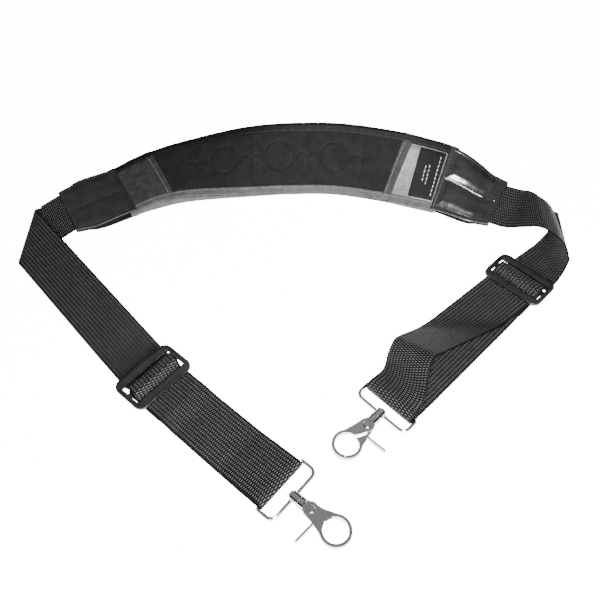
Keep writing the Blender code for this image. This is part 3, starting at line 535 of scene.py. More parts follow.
# How far into a tab each of the spine's stations in its mouth lies, as shares of TAB_HOLD.
MOUTH_SHARES = (0, 0.5, 1)


def mouth_stations(side, pad_end, direction):
    """Spine stations in a tab's mouth, in the plane of its webbing and towards the pad's end."""
    start, bends, length = upper_route(side)
    s = np.array((length, length + WEB_HOLD, length))
    w = np.array((0, 0, WEB_WIDTH / 2))
    mouth, onwards, beside = strip_points(start, bends, s, w)
    normal = np.cross(onwards - mouth, beside - mouth)
    normal /= np.linalg.norm(normal)
    inwards = (pad_end - mouth) - (pad_end - mouth) @ normal * normal
    inwards /= np.linalg.norm(inwards)
    forward = direction * inwards
    level = np.array((-forward[1], forward[0], 0.0))
    level /= np.linalg.norm(level)
    across = np.cross(normal, forward)
    if across @ level < 0:
        across = -across
    tilt = math.asin(across @ np.cross(forward, level))
    return [(*(mouth + share * TAB_HOLD * inwards), tilt) for share in MOUTH_SHARES]


def spine_stations():
    """Every station of the spine as (x, y, z, tilt), from the left mouth to the right one."""
    pad = []
    for x, y, z, tilt in PAD_STATIONS:
        pad.append((*(np.array((x, y, z)) - PLAN_ORIGIN), math.radians(tilt)))
    left = mouth_stations("left", np.array(pad[0][:3]), 1)
    right = mouth_stations("right", np.array(pad[-1][:3]), -1)
    return np.array(left + pad + right[::-1])


SPINE = spine_stations()
SPINE_END = len(SPINE) - 1
PAD_FIRST = len(MOUTH_SHARES)
PAD_LAST = SPINE_END - PAD_FIRST
RUN_STEPS = 400


def spine_points(places):
    """(x, y, z, tilt) of the spine at places counted in stations, on a smooth curve."""
    index = np.clip(places.astype(int), 0, SPINE_END - 1)
    part = (places - index)[:, None]
    square = part * part
    cube = square * part
    before = SPINE[np.maximum(index - 1, 0)]
    here = SPINE[index]
    following = SPINE[index + 1]
    after = SPINE[np.minimum(index + 2, SPINE_END)]
    curve = (2 * cube - 3 * square + 1) * here + (3 * square - 2 * cube) * following
    slopes = (cube - 2 * square + part) * (following - before) + (cube - square) * (after - here)
    return curve + slopes / 2


def on_spine(places, across, height):
    """Points at grids of places, distances across the pad and heights above its middle."""
    line = places[:, 0]
    step = 0.02
    ahead = spine_points(np.minimum(line + step, SPINE_END))[:, :3]
    behind = spine_points(np.maximum(line - step, 0))[:, :3]
    forward = (ahead - behind) / lengths(ahead - behind)
    level = np.stack((-forward[:, 1], forward[:, 0], np.zeros(len(line))), -1)
    level /= lengths(level)
    found = spine_points(line)
    tilt = found[:, 3:]
    sideways = np.cos(tilt) * level + np.sin(tilt) * np.cross(forward, level)
    face = np.cross(forward, sideways)
    middle = found[:, None, :3]
    return middle + across[..., None] * sideways[:, None] + height[..., None] * face[:, None]


def pad_runs():
    """Places along the pad, finely spaced, and the distance run up to each."""
    places = np.linspace(PAD_FIRST, PAD_LAST, RUN_STEPS + 1)
    return places, distances(spine_points(places)[:, :3])


PLACES, RUNS = pad_runs()
PAD_LENGTH = RUNS[-1]


def pad_place(share):
    """Place on the spine at a share of the pad's length."""
    return np.interp(np.asarray(share) * PAD_LENGTH, RUNS, PLACES)


def core_half(places):
    """Half thickness of the foam core, which thins out towards the pad's ends."""
    inside = np.minimum(places - PAD_FIRST, PAD_LAST - places)
    return CORE_HALF_AT_END + (CORE_HALF - CORE_HALF_AT_END) * smoothstep(inside / CORE_TAPER)


def fabric_top(places):
    """Height of the face's outer surface above the pad's middle."""
    return core_half(places) + GAP + FACE_THICK


def binding_top(places):
    """Height of the edge binding's outer surface above the pad's middle."""
    return fabric_top(places) + GAP + BINDING_THICK


PAD_GRID = 0.0008


def seam_share(seam, a):
    """Share of the pad's length at which a slanting seam lies, at distances across the pad."""
    return seam[0] + (seam[1] - seam[0]) * (0.5 + a / PAD_FABRIC_WIDTH)


def pad_grid(first, last):
    """Grids of shares along and distances across the pad, between two slanting seams."""
    half = PAD_FABRIC_WIDTH / 2
    a = np.linspace(-half, half, round(PAD_FABRIC_WIDTH / PAD_GRID) + 1)[None]
    low = seam_share(first, a)
    high = seam_share(last, a)
    count = round((max(last) - min(first)) * PAD_LENGTH / PAD_GRID)
    share = low + (high - low) * np.linspace(0, 1, count)[:, None]
    return share, np.broadcast_to(a, share.shape)


# Quilting: embossed rings with arcs and straight channels between them.
RING_SHARES = (0.3325, 0.500, 0.6625)
RING_ACROSS = (0.0040, 0.0040, 0.0025)
RING_RADIUS = 0.0155
CHANNEL_SHARES = (0.245, 0.4165, 0.5835, 0.745)
ARC_RADIUS = 0.0062
ARC_ACROSS = 0.0005
GROOVE_WIDTH = 0.0021
GROOVE_DEPTH = 0.00115
ARC_FADE = 0.002
BELOW_RING_DEPTH = 0.75
CHANNEL_DEPTH = 0.7

# How the foam fills out the face next to the bindings, and the faint ripples of its cloth, each
# pair of crossing waves as (radians along the pad, radians per metre across it).
SWELL_REACH = 0.003
SWELL_WIDTH = 0.010
QUILTED_SWELL = 0.0006
QUILTED_RIPPLE = 0.00007
QUILTED_WAVES = ((210, 140), (95, -260))
PLAIN_SWELL = 0.0007
PLAIN_RIPPLE = 0.00003
PLAIN_WAVES = ((330, 90), (120, -210))


def quilting(share, a):
    """Depth of the embossed pattern, from 0 between the lines to 1 along them."""
    x = share * PAD_LENGTH
    depth = np.zeros(share.shape)
    for ring_share, ring_across in zip(RING_SHARES, RING_ACROSS):
        dx = x - ring_share * PAD_LENGTH
        radius = np.hypot(dx, a - ring_across)
        depth = np.maximum(depth, bump(radius - RING_RADIUS, GROOVE_WIDTH))
        below = bump(dx, GROOVE_WIDTH) * (a < ring_across - RING_RADIUS)
        depth = np.maximum(depth, BELOW_RING_DEPTH * below)
    for channel_share in CHANNEL_SHARES:
        dx = x - channel_share * PAD_LENGTH
        depth = np.maximum(depth, CHANNEL_DEPTH * bump(dx, GROOVE_WIDTH))
        upper_half = smoothstep((a - ARC_ACROSS + ARC_FADE) / ARC_FADE)
        for sign in (-1, 1):
            radius = np.hypot(dx - sign * ARC_RADIUS, a - ARC_ACROSS)
            depth = np.maximum(depth, bump(radius - ARC_RADIUS, GROOVE_WIDTH) * upper_half)
    return depth


def swelling(a):
    """How much the foam fills out the face across the pad, from 0 at the bindings to 1."""
    return smoothstep((PAD_WIDTH / 2 - BINDING_LEG + SWELL_REACH - np.abs(a)) / SWELL_WIDTH)


def crossing_waves(waves, along, across):
    """A faint irregular surface from -1 to 1, where two sets of waves cross."""
    (along_1, across_1), (along_2, across_2) = waves
    return np.sin(along * along_1 + across * across_1) * np.sin(along * along_2 + across * across_2)


def quilted_height(share, a):
    """Height of the quilted face's surface above the pad's middle."""
    ripples = QUILTED_RIPPLE * crossing_waves(QUILTED_WAVES, share, a)
    full = fabric_top(pad_place(share)) + QUILTED_SWELL * swelling(a) + ripples
    return full - GROOVE_DEPTH * quilting(share, a)


def plain_height(share, a):
    """Height of a plain panel's surface above the pad's middle."""
    ripples = PLAIN_RIPPLE * crossing_waves(PLAIN_WAVES, share, a)
    return fabric_top(pad_place(share)) + PLAIN_SWELL * swelling(a) + ripples


def panel(name, first, last, height, replaced):
    """A panel of the pad's face between two seams."""
    share, a = pad_grid(first, last)
    places = pad_place(share)
    bottom = core_half(places) + PANEL_CLEARANCE
    return slanted_sheet(name, places, a, height(share, a), bottom, replaced)


def slanted_sheet(name, places, a, top, bottom, replaced):
    """A layer whose places along the spine change across it."""
    flat = places.ravel()[:, None]
    shape = (*places.shape, 3)
    upper = on_spine(flat, a.ravel()[:, None], top.ravel()[:, None]).reshape(shape)
    lower = on_spine(flat, a.ravel()[:, None], bottom.ravel()[:, None]).reshape(shape)
    run = np.interp(places, PLACES, RUNS)
    made = closed_sheet(name, upper, lower, np.stack((run, a), -1))
    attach(made, "pad")
    if replaced:
        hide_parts(*replaced)
    return made


# Where the face's panels meet, as shares of the pad at its front and back edges.
LEFT_SEAM = (0.136, 0.110)
RIGHT_SEAM = (0.820, 0.852)
PAD_START = (0.0015, 0.0015)
PAD_FINISH = (0.9985, 0.9985)
PANEL_CLEARANCE = 0.00015
HEM_THICK = 0.0008

# Backing: its thickness, and the depth and pitch of its quilting.
BACKING_THICK = 0.0013
BACKING_QUILT = 0.0005
BACKING_PITCH = 0.012


def hem_height(share, a):
    """Height of a hem's surface above the pad's middle."""
    return plain_height(share, a) + HEM_THICK


def hem_strip(side, seam, width):
    """A folded strip of cloth from a seam onwards, its width a share of the pad's length."""
    made = panel("pad_hem_" + side, seam, (seam[0] + width, seam[1] + width), hem_height, ())
    return made


def backing():
    """Soft cloth and foam on the side that lies against the body, closed up to the face."""
    share, a = pad_grid(PAD_START, PAD_FINISH)
    places = pad_place(share)
    top = core_half(places)
    rows = np.sin(share * PAD_LENGTH / BACKING_PITCH * np.pi) ** 2
    columns = np.sin(a / BACKING_PITCH * np.pi) ** 2
    bottom = -top - GAP - BACKING_THICK - BACKING_QUILT * rows * columns * swelling(a)
    made = slanted_sheet("pad_foam_and_backing", places, a, top, bottom, ("pad_foam_core", "pad_backing"))
    return made


# Stitches: short rounded threads laid along a line of points.
STITCH_SIDES = 6
STITCH_RINGS = 5
STITCH_FLATNESS = 0.8
STITCH_LIFT = 0.00005
NORMAL_PROBE = 0.001


def stitch_shape():
    """Points and faces of one stitch of unit length and unit thickness, along X."""
    rings = np.linspace(-0.5, 0.5, STITCH_RINGS)
    turn = np.arange(STITCH_SIDES) * 2 * np.pi / STITCH_SIDES
    swell = np.sqrt(np.maximum(1 - (2 * rings) ** 2, 0.05))
    points = [(x, r * math.cos(t), r * math.sin(t)) for x, r in zip(rings, swell) for t in turn]
    quads = []
    for ring in range(STITCH_RINGS - 1):
        for side in range(STITCH_SIDES):
            a = ring * STITCH_SIDES + side
            b = ring * STITCH_SIDES + (side + 1) % STITCH_SIDES
            quads.append((a, b, b + STITCH_SIDES, a + STITCH_SIDES))
    return np.array(points), np.array(quads)


def at_distance(distance, run, values):
    """A vector found between the values known at each distance of a run."""
    return np.array([np.interp(distance, run, values[:, axis]) for axis in range(3)])


def stitching(name, lines, pitch, thick, share=0.68):
    """Stitches every pitch along lines, each line a run of (points, normals)."""
    shape, faces = stitch_shape()
    points = []
    quads = []
    for line, normals in lines:
        run = distances(line)
        for distance in np.arange(pitch / 2, run[-1] - pitch / 4, pitch):
            middle = at_distance(distance, run, line)
            along = at_distance(distance + pitch / 2, run, line)
            along -= at_distance(distance - pitch / 2, run, line)
            along /= np.linalg.norm(along)
            normal = at_distance(distance, run, normals)
            normal -= normal @ along * along
            normal /= np.linalg.norm(normal)
            beside = np.cross(normal, along)
            placed = middle + shape[:, :1] * pitch * share * along + shape[:, 1:2] * thick * beside
            placed = placed + shape[:, 2:] * thick * STITCH_FLATNESS * normal
            quads.append(faces + len(points) * len(shape))
            points.append(placed)
    made = quad_object(name, np.concatenate(points), np.concatenate(quads))
    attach(made, "pad")
    return made


def line_on_pad(places, across, height):
    """A line of points on the pad with the face direction at each."""
    places = np.asarray(places, float)
    across = np.broadcast_to(across, places.shape).astype(float)
    height = np.broadcast_to(height, places.shape).astype(float)
    low = on_spine(places[:, None], across[:, None], height[:, None])[:, 0]
    high = on_spine(places[:, None], across[:, None], height[:, None] + NORMAL_PROBE)[:, 0]
    return low, (high - low) / NORMAL_PROBE


# Stitches along the hems: how far past each seam, as a share of the pad's length.
HEM_STITCH_SHIFTS = ((RIGHT_SEAM, 0.006), (LEFT_SEAM, 0.005))
HEM_STITCH_HALF = 0.0285
HEM_STITCH_LIFT = 0.0001


def hem_stitches():
    """A row of stitches along each hem."""
    a = np.linspace(-HEM_STITCH_HALF, HEM_STITCH_HALF, 80)
    lines = []
    for seam, shift in HEM_STITCH_SHIFTS:
        share = seam_share(seam, a) + shift
        lines.append(line_on_pad(pad_place(share), a, hem_height(share, a) + HEM_STITCH_LIFT))
    return stitching("pad_hem_stitches", lines, pitch=0.0026, thick=0.00035)


# Edge bindings: the tape's width and ribs, its bend over the pad's edge, where its stitches pinch
# it, and how it ruffles. Shares are of the tape's half width or of its leg.
TAPE_WIDTH = 0.035
TAPE_RIB = 0.0012
TAPE_RIB_DEPTH = 0.00007
TAPE_STEP = 0.0006
TAPE_SECTION = 46
TAPE_BEND_SHARE = 0.36
TAPE_EDGE_RADIUS = 0.0030
TAPE_PINCH = 0.00035
TAPE_PINCH_SHARE = 0.86
TAPE_PINCH_WIDTH = 0.25
TAPE_RUFFLE = 0.00018
TAPE_RUFFLE_WAVE = 260
TAPE_STITCH_INSET = 0.0017


def binding(name, sign):
    """Tape folded over a long edge of the pad, finely ribbed and drawn in by its stitches."""
    share = np.linspace(PAD_START[0], PAD_FINISH[0], round(PAD_LENGTH / TAPE_STEP))
    places = pad_place(share)
    t = np.linspace(-1, 1, TAPE_SECTION)
    out = binding_top(places)[:, None] - BINDING_THICK / 2
    edge = PAD_WIDTH / 2 - BINDING_THICK / 2
    inner = np.clip((np.abs(t) - TAPE_BEND_SHARE) / (1 - TAPE_BEND_SHARE), 0, 1)
    angle = np.clip(t / TAPE_BEND_SHARE, -1, 1) * np.pi / 2
    a = edge - TAPE_EDGE_RADIUS * (1 - np.cos(angle)) - (BINDING_LEG - TAPE_EDGE_RADIUS) * inner
    pinch = TAPE_PINCH * bump(inner - TAPE_PINCH_SHARE, TAPE_PINCH_WIDTH)
    ruffle = TAPE_RUFFLE * np.sin(share[:, None] * TAPE_RUFFLE_WAVE + 1.2 * sign) * inner
    h = np.sin(angle) * (out - pinch) + np.sign(t) * ruffle
    middle = on_spine(places[:, None], sign * np.broadcast_to(a, h.shape), h)
    normals = grid_normals(middle)
    run = np.broadcast_to(share[:, None] * PAD_LENGTH, h.shape)
    along_tape = np.broadcast_to(t * TAPE_WIDTH / 2, h.shape)
    ribs = TAPE_RIB_DEPTH * np.sin(2 * np.pi * share[:, None] * PAD_LENGTH / TAPE_RIB)
    half = (BINDING_THICK / 2 + ribs)[..., None]
    uv = np.stack((run, along_tape), -1)
    made = closed_sheet(name + "_tape", middle + half * normals, middle - half * normals, uv)
    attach(made, "pad")
    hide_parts(name)
    return made


def binding_stitches(name, sign):
    """Rows of stitches along a binding, on the face and on the back."""
    places = pad_place(np.linspace(0.012, 0.988, 240))
    across = sign * (PAD_WIDTH / 2 - BINDING_LEG + TAPE_STITCH_INSET)
    height = binding_top(places) + STITCH_LIFT
    lines = [line_on_pad(places, across, height), line_on_pad(places, across, -height)]
    return stitching(name + "_stitches", lines, pitch=0.0030, thick=0.00032)


# Woven label: its grid, height over the panel, thickness, crowned middle and fine ribs.
LABEL_GRID = 0.0004
LABEL_CLEARANCE = 0.0003
LABEL_THICK = 0.00045
LABEL_CROWN = 0.00022
LABEL_RIM = 0.0006
LABEL_RIB = 0.0011
LABEL_RIB_DEPTH = 0.00004


def label():
    """Woven label with turned edges."""
    long_side = (LABEL_SHARES[1] - LABEL_SHARES[0]) * PAD_LENGTH
    share = np.linspace(*LABEL_SHARES, round(long_side / LABEL_GRID))
    across = np.linspace(-LABEL_WIDTH / 2, LABEL_WIDTH / 2, round(LABEL_WIDTH / LABEL_GRID) + 1)
    share, a = np.meshgrid(share, across, indexing="ij")
    places = pad_place(share)[:, :1]
    x = (share - LABEL_SHARES[0]) * PAD_LENGTH
    rim = np.minimum(np.minimum(x, long_side - x), LABEL_WIDTH / 2 - np.abs(a))
    base = plain_height(share, a) + LABEL_CLEARANCE
    top = base + LABEL_THICK + LABEL_CROWN * smoothstep(rim / LABEL_RIM)
    top += LABEL_RIB_DEPTH * np.sin(2 * np.pi * a / LABEL_RIB)
    upper = on_spine(places, a, top)
    lower = on_spine(places, a, base)
    made = closed_sheet("woven_label_cloth", upper, lower, np.stack((x, a), -1))
    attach(made, "pad")
    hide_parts("woven_label")
    return made


# Rows of raised bars on the label: share of the pad's length, and reach across it.
LABEL_ROWS = ((0.9640, -0.0230, 0.0230), (0.9400, -0.0120, 0.0120), (0.9290, -0.0090, 0.0090))
LABEL_RAISE = 0.00095


def label_bars():
    """Raised bars in rows on the label: a plain motif without lettering."""
    rows = []
    for share, first, last in LABEL_ROWS:
        a = np.linspace(first, last, 60)
        shares = np.full(a.shape, share)
        rows.append(line_on_pad(pad_place(shares), a, plain_height(shares, a) + LABEL_RAISE))
    return stitching("woven_label_bars", rows, pitch=0.0046, thick=0.00055, share=0.8)


# End tabs: where they rise over the pad, as shares of their length, and the heights and widths of
# their padding, stitched grooves, rounded rims and wrinkles.
TAB_ROWS = 110
TAB_COLUMNS = 110
TAB_RISE_START = 0.36
TAB_RISE_SHARE = 0.44
TAB_BORDER = 0.0042
TAB_CENTRE = 0.0012
TAB_PUFF_WIDTH = 0.0085
TAB_GROOVE = 0.00035
TAB_GROOVE_WIDTH = 0.0011
TAB_RIM = 0.0006
TAB_RIM_WIDTH = 0.0009
TAB_WRINKLE = 0.00007
TAB_WAVES = ((420, 260), (130, -330))
TAB_STITCH_INSET = TAB_BORDER * 0.9
TAB_STITCH_ROWS = range(4, TAB_ROWS - 5)


def tab_places(side):
    """Places along a tab, from its mouth to where it overlaps the pad."""
    overlap = TAB_OVERLAP / PAD_LENGTH
    if side == "left":
        return np.linspace(0, pad_place(overlap), TAB_ROWS)
    return np.linspace(SPINE_END, pad_place(1 - overlap), TAB_ROWS)


def tab_lift(places, share):
    """Height of a tab's inner surface above the middle: snug at the mouth, over the pad beyond."""
    mouth = WEB_THICK / 2 + 2 * GAP
    over_pad = binding_top(np.clip(places, PAD_FIRST, PAD_LAST)) + GAP
    return mouth + (over_pad - mouth) * smoothstep((share - TAB_RISE_START) / TAB_RISE_SHARE)


def tab_sheet(side, name, sign, puff, crease):
    """One leatherette sheet of a tab, padded either side of a centre seam."""
    places = tab_places(side)
    share = np.linspace(0, 1, TAB_ROWS)
    half = (TAB_NARROW + (TAB_WIDE - TAB_NARROW) * share)[:, None] / 2
    t = np.linspace(-1, 1, TAB_COLUMNS)
    a = half * t
    run = distances(spine_points(places)[:, :3])[:, None]
    inset = np.minimum(np.minimum(run, run[-1] - run), half - np.abs(a))
    lift = np.broadcast_to(tab_lift(places, share)[:, None], a.shape)
    pocket = np.minimum(inset - TAB_BORDER, np.abs(a) - TAB_CENTRE)
    crown = puff * smoothstep(pocket / TAB_PUFF_WIDTH)
    groove = TAB_GROOVE * bump(inset - TAB_BORDER, TAB_GROOVE_WIDTH)
    groove += crease * bump(a, TAB_CENTRE) * (inset > TAB_BORDER)
    rounding = TAB_RIM * (1 - smoothstep(inset / TAB_RIM_WIDTH))
    wrinkle = TAB_WRINKLE * crossing_waves(TAB_WAVES, run, a) * (crown > 0)
    outer = lift + TAB_THICK + crown - groove - rounding + wrinkle
    top = on_spine(places[:, None], a, sign * outer)
    bottom = on_spine(places[:, None], a, sign * (lift + rounding / 2))
    if (sign > 0) != (side == "left"):
        top, bottom = bottom, top
    uv = np.stack((np.broadcast_to(run, a.shape), a), -1)
    made = closed_sheet(name + "_leather_" + side, top, bottom, uv)
    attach(made, "pad")
    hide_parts(name + "_" + side)
    return made, (places, half[:, 0], outer, a, sign)


def tab_stitches(side, name, outline):
    """Stitches round a tab's border and along its centre seam."""
    places, half, outer, a, sign = outline
    rows = np.array(TAB_STITCH_ROWS)
    lines = []
    for t in (-1, 1):
        across = t * (half[rows] - TAB_STITCH_INSET)
        column = np.argmin(np.abs(a[rows] - across[:, None]), axis=1)
        lines.append(line_on_pad(places[rows], across, sign * (outer[rows, column] + STITCH_LIFT)))
    seam = slice(8, -8)
    lines.append(line_on_pad(places[seam], 0.0, sign * (outer[seam, TAB_COLUMNS // 2] + STITCH_LIFT)))
    for row in (TAB_STITCH_ROWS.start + 3, TAB_STITCH_ROWS.stop - 3):
        across = np.linspace(-1, 1, 60) * (half[row] - TAB_STITCH_INSET)
        height = np.interp(across, a[row], outer[row]) + STITCH_LIFT
        lines.append(line_on_pad(np.full(across.shape, places[row]), across, sign * height))
    return stitching(name + "_stitches_" + side, lines, pitch=0.0027, thick=0.00030)


# Materials.


class Shader:
    """A Principled material and short ways to add nodes to it."""

    def __init__(self, name, colour, roughness, metallic=0.0):
        self.material = bpy.data.materials.new(name)
        self.material.use_nodes = True
        self.tree = self.material.node_tree
        self.shader = self.tree.nodes["Principled BSDF"]
        self.set("Base Color", (*colour, 1))
        self.set("Roughness", roughness)
        self.set("Metallic", metallic)
        self.material.diffuse_color = (*colour, 1)
        self.coordinates = self.node("ShaderNodeTexCoord").outputs["Object"]

    def node(self, kind, **values):
        """A new node with its properties set."""
        made = self.tree.nodes.new(kind)
        for key, value in values.items():
            setattr(made, key, value)
        return made

    def set(self, socket, value):
        """Set one of the shader's own values."""
        self.shader.inputs[socket].default_value = value

    def link(self, output, socket):
        """Link an output to the shader's own socket or to another node's."""
        target = self.shader.inputs[socket] if isinstance(socket, str) else socket
        self.tree.links.new(output, target)

    def attribute(self, name):
        """A value stored at the mesh's vertices."""
        return self.node("ShaderNodeAttribute", attribute_name=name).outputs["Fac"]

    def noise(self, scale, detail=3.0, rough=0.55, coordinates=None):
        """Noise at a scale, its places in metres."""
        made = self.node("ShaderNodeTexNoise")
        made.inputs["Scale"].default_value = scale
        made.inputs["Detail"].default_value = detail
        made.inputs["Roughness"].default_value = rough
        self.link(coordinates or self.coordinates, made.inputs["Vector"])
        return made.outputs["Fac"]

    def voronoi(self, scale):
        """Cell distances at a scale."""
        made = self.node("ShaderNodeTexVoronoi")
        made.inputs["Scale"].default_value = scale
        self.link(self.coordinates, made.inputs["Vector"])
        return made.outputs["Distance"]

    def fibres(self, scale):
        """Noise drawn out along or across the sheet, by its scale on each of its two axes."""
        uv = self.node("ShaderNodeUVMap", uv_map="along_across")
        mapping = self.node("ShaderNodeMapping")
        mapping.inputs["Scale"].default_value = (*scale, 1)
        self.link(uv.outputs["UV"], mapping.inputs["Vector"])
        return self.noise(1.0, detail=2.0, rough=0.6, coordinates=mapping.outputs["Vector"])

    def greys(self, factor, tone, *stops):
        """Greys along a factor, each stop a position and the share of the tone there."""
        made = self.node("ShaderNodeValToRGB")
        set_stops(made, [(position, grey(tone * share)) for position, share in stops])
        self.link(factor, made.inputs["Fac"])
        return made.outputs["Color"]

    def spread(self, factor, low, high):
        """A factor from 0 to 1 mapped to a range."""
        made = self.node("ShaderNodeMapRange")
        made.inputs["To Min"].default_value = low
        made.inputs["To Max"].default_value = high
        self.link(factor, made.inputs["Value"])
        return made.outputs["Result"]

    def mix(self, factor, a, b):
        """A mix of two colour outputs."""
        made = self.node("ShaderNodeMix", data_type="RGBA")
        self.link(factor, made.inputs["Factor"])
        self.link(a, made.inputs[6])
        self.link(b, made.inputs[7])
        return made.outputs[2]

    def bump(self, height, distance, strength=1.0, under=None):
        """Bump from a height, over another bump if given."""
        made = self.node("ShaderNodeBump")
        made.inputs["Distance"].default_value = distance
        made.inputs["Strength"].default_value = strength
        self.link(height, made.inputs["Height"])
        if under is not None:
            self.link(under, made.inputs["Normal"])
        self.link(made.outputs["Normal"], "Normal")
        return made.outputs["Normal"]

    def sheen(self, weight, roughness):
        """Soft sheen of fibres."""
        self.set("Sheen Weight", weight)
        self.set("Sheen Roughness", roughness)


def set_stops(ramp, stops):
    """Give a colour ramp its positions and colours."""
    elements = ramp.color_ramp.elements
    while len(elements) < len(stops):
        elements.new(0.5)
    for element, (position, colour) in zip(elements, stops):
        element.position = position
        element.color = (*colour, 1)


def grey(value):
    """A neutral colour."""
    return (value, value, value * 1.02)


def webbing_material(name, tone):
    """Woven polyester: twisted yarns across each rib, shinier on the crowns, with a painted highlight on
    the crowns and painted shade in the valleys and along the edges.
    """
    made = Shader(name, grey(tone), 0.5)
    yarn = made.fibres((5200, 900))
    fibres = made.fibres((1400, 6500))
    crown = made.attribute("weave")
    # Base colour rises with the rib height: painted highlight on the crowns and painted shade in the
    # valleys; noise picks patches of wear where the crowns are brighter still.
    painted_rib_light = made.greys(crown, tone, (0.10, 0.10), (0.60, 0.25), (0.95, 6.5))
    worn_painted_rib_light = made.greys(crown, tone, (0.10, 0.15), (0.60, 0.45), (0.95, 10.0))
    made.link(made.mix(made.noise(60, 4.0), painted_rib_light, worn_painted_rib_light), "Base Color")
    made.link(made.spread(yarn, 0.34, 0.62), "Roughness")
    low = made.bump(yarn, distance=0.00012, strength=0.8)
    made.bump(fibres, distance=0.00008, strength=0.7, under=low)
    made.link(made.spread(crown, 0.0, 0.60), "Specular IOR Level")
    made.sheen(0.01, 0.4)
    return made.material


def suede_material(name, tone):
    """Brushed microfibre: short nap with faint mottling."""
    made = Shader(name, grey(tone), 0.85)
    mottle = made.noise(95, detail=5.0, rough=0.6)
    nap = made.noise(2600, detail=3.0, rough=0.7)
    made.link(made.greys(mottle, tone, (0.3, 0.78), (0.7, 1.28)), "Base Color")
    low = made.bump(mottle, distance=0.0004, strength=0.35)
    made.bump(nap, distance=0.00012, strength=0.8, under=low)
    made.set("Specular IOR Level", 0.10)
    made.sheen(0.02, 0.45)
    return made.material


def satin_material(name, tone, roughness):
    """Smooth coated cloth with a mottled, wrinkled gloss."""
    made = Shader(name, grey(tone), roughness)
    mottle = made.noise(130, detail=6.0, rough=0.65)
    fine = made.noise(1500, detail=3.0, rough=0.6)
    made.link(made.greys(mottle, tone, (0.32, 0.6), (0.68, 1.5)), "Base Color")
    made.link(made.spread(mottle, roughness - 0.1, roughness + 0.12), "Roughness")
    low = made.bump(mottle, distance=0.0009, strength=0.45)
    made.bump(fine, distance=0.00008, strength=0.6, under=low)
    made.sheen(0.03, 0.4)
    return made.material


def leather_material(name, tone, roughness, coat):
    """Pebbled leatherette with a shiny top coat."""
    made = Shader(name, grey(tone), roughness)
    pebbles = made.voronoi(1500)
    scuffs = made.noise(70, detail=5.0, rough=0.6)
    made.link(made.greys(scuffs, tone, (0.3, 0.7), (0.72, 1.5)), "Base Color")
    made.link(made.spread(scuffs, roughness - 0.06, roughness + 0.12), "Roughness")
    low = made.bump(scuffs, distance=0.0007, strength=0.22)
    made.bump(pebbles, distance=0.00007, strength=0.5, under=low)
    made.set("Coat Weight", coat)
    made.set("Coat Roughness", 0.12)
    return made.material


def tape_material(name, tone):
    """Ribbed binding tape."""
    made = Shader(name, grey(tone), 0.55)
    threads = made.fibres((5200, 700))
    stains = made.noise(120, detail=5.0, rough=0.7)
    made.link(made.greys(stains, tone, (0.28, 0.6), (0.72, 1.35)), "Base Color")
    made.bump(threads, distance=0.00015, strength=0.8)
    made.set("Specular IOR Level", 0.15)
    made.sheen(0.01, 0.35)
    return made.material


def thread_material(name, tone):
    """Twisted sewing thread."""
    made = Shader(name, grey(tone), 0.5)
    twist = made.noise(3800, 2.0)
    made.link(made.greys(twist, tone, (0.35, 0.7), (0.65, 1.25)), "Base Color")
    made.bump(twist, distance=0.00008, strength=0.8)
    made.sheen(0.05, 0.4)
    return made.material


def foam_material():
    """Backing cloth over foam: an open knit."""
    made = Shader("knit_backing", grey(0.02), 0.9)
    holes = made.voronoi(900)
    made.link(made.greys(holes, 1, (0.1, 0.006), (0.5, 0.035)), "Base Color")
    made.bump(holes, distance=0.0003, strength=0.9)
    made.sheen(0.05, 0.5)
    return made.material


def metal_material(name, roughness, tone):
    """Plated zinc or steel: bright, with fine polishing marks and faint smears."""
    made = Shader(name, (tone, tone, tone * 1.015), roughness, 1.0)
    smears = made.noise(140, detail=4.0, rough=0.6)
    polish = made.noise(2200, detail=2.0, rough=0.5)
    made.link(made.spread(smears, roughness * 0.5, roughness * 2.0), "Roughness")
    low = made.bump(smears, distance=0.0004, strength=0.06)
    made.bump(polish, distance=0.00004, strength=0.12, under=low)
    return made.material


def acetal_material():
    """Moulded black plastic with a fine grain, its roughness varying in soft patches, under a clear coat.
    """
    made = Shader("black_acetal", grey(0.012), 0.22)
    grain = made.noise(1900, detail=3.0, rough=0.6)
    flow = made.noise(90, detail=3.0, rough=0.5)
    made.link(made.spread(flow, 0.16, 0.34), "Roughness")
    made.link(made.greys(flow, 1, (0.3, 0.009), (0.7, 0.018)), "Base Color")
    made.bump(grain, distance=0.00006, strength=0.45)
    made.set("Coat Weight", 0.35)
    made.set("Coat Roughness", 0.1)
    return made.material


def dress(piece, material):
    """Give a piece one material."""
    piece.data.materials.clear()
    piece.data.materials.append(material)


def finish_hard_parts():
    """Round the edges of the CAD's metal and plastic and give them their materials."""
    chrome = metal_material("polished_chrome", 0.07, 0.80)
    kinds = {
        "tri_glide_": (acetal_material(), 0.00045),
        "hook_frame_": (chrome, 0.0003),
        "hook_body_": (chrome, 0.00055),
        "trigger_lever_": (chrome, 0.00045),
        "hook_rivet_": (chrome, 0.00015),
        "swivel_pin_": (metal_material("swivel_pin_steel", 0.14, 0.66), 0.00015),
        "trigger_spring_": (metal_material("spring_steel_wire", 0.25, 0.5), 0.00015),
    }
    for side in SIDES:
        for prefix, (material, rounding) in kinds.items():
            node = frame["nodes"][prefix + side]
            dress(node, material)
            round_edges(node, rounding)


def round_edges(node, width):
    """Weld a CAD node's shading seams, bevel its sharp edges and smooth the rest."""
    custom = node.data.attributes.get("custom_normal")
    if custom:
        node.data.attributes.remove(custom)
    node.data.polygons.foreach_set("use_smooth", np.ones(len(node.data.polygons), bool))
    weld = node.modifiers.new("weld", "WELD")
    weld.merge_threshold = 0.00001
    bevel = node.modifiers.new("round", "BEVEL")
    bevel.width = width
    bevel.segments = 3
    bevel.limit_method = "ANGLE"
    bevel.angle_limit = math.radians(38)
    bevel.harden_normals = True
    bevel.use_clamp_overlap = True


# Putting it together.


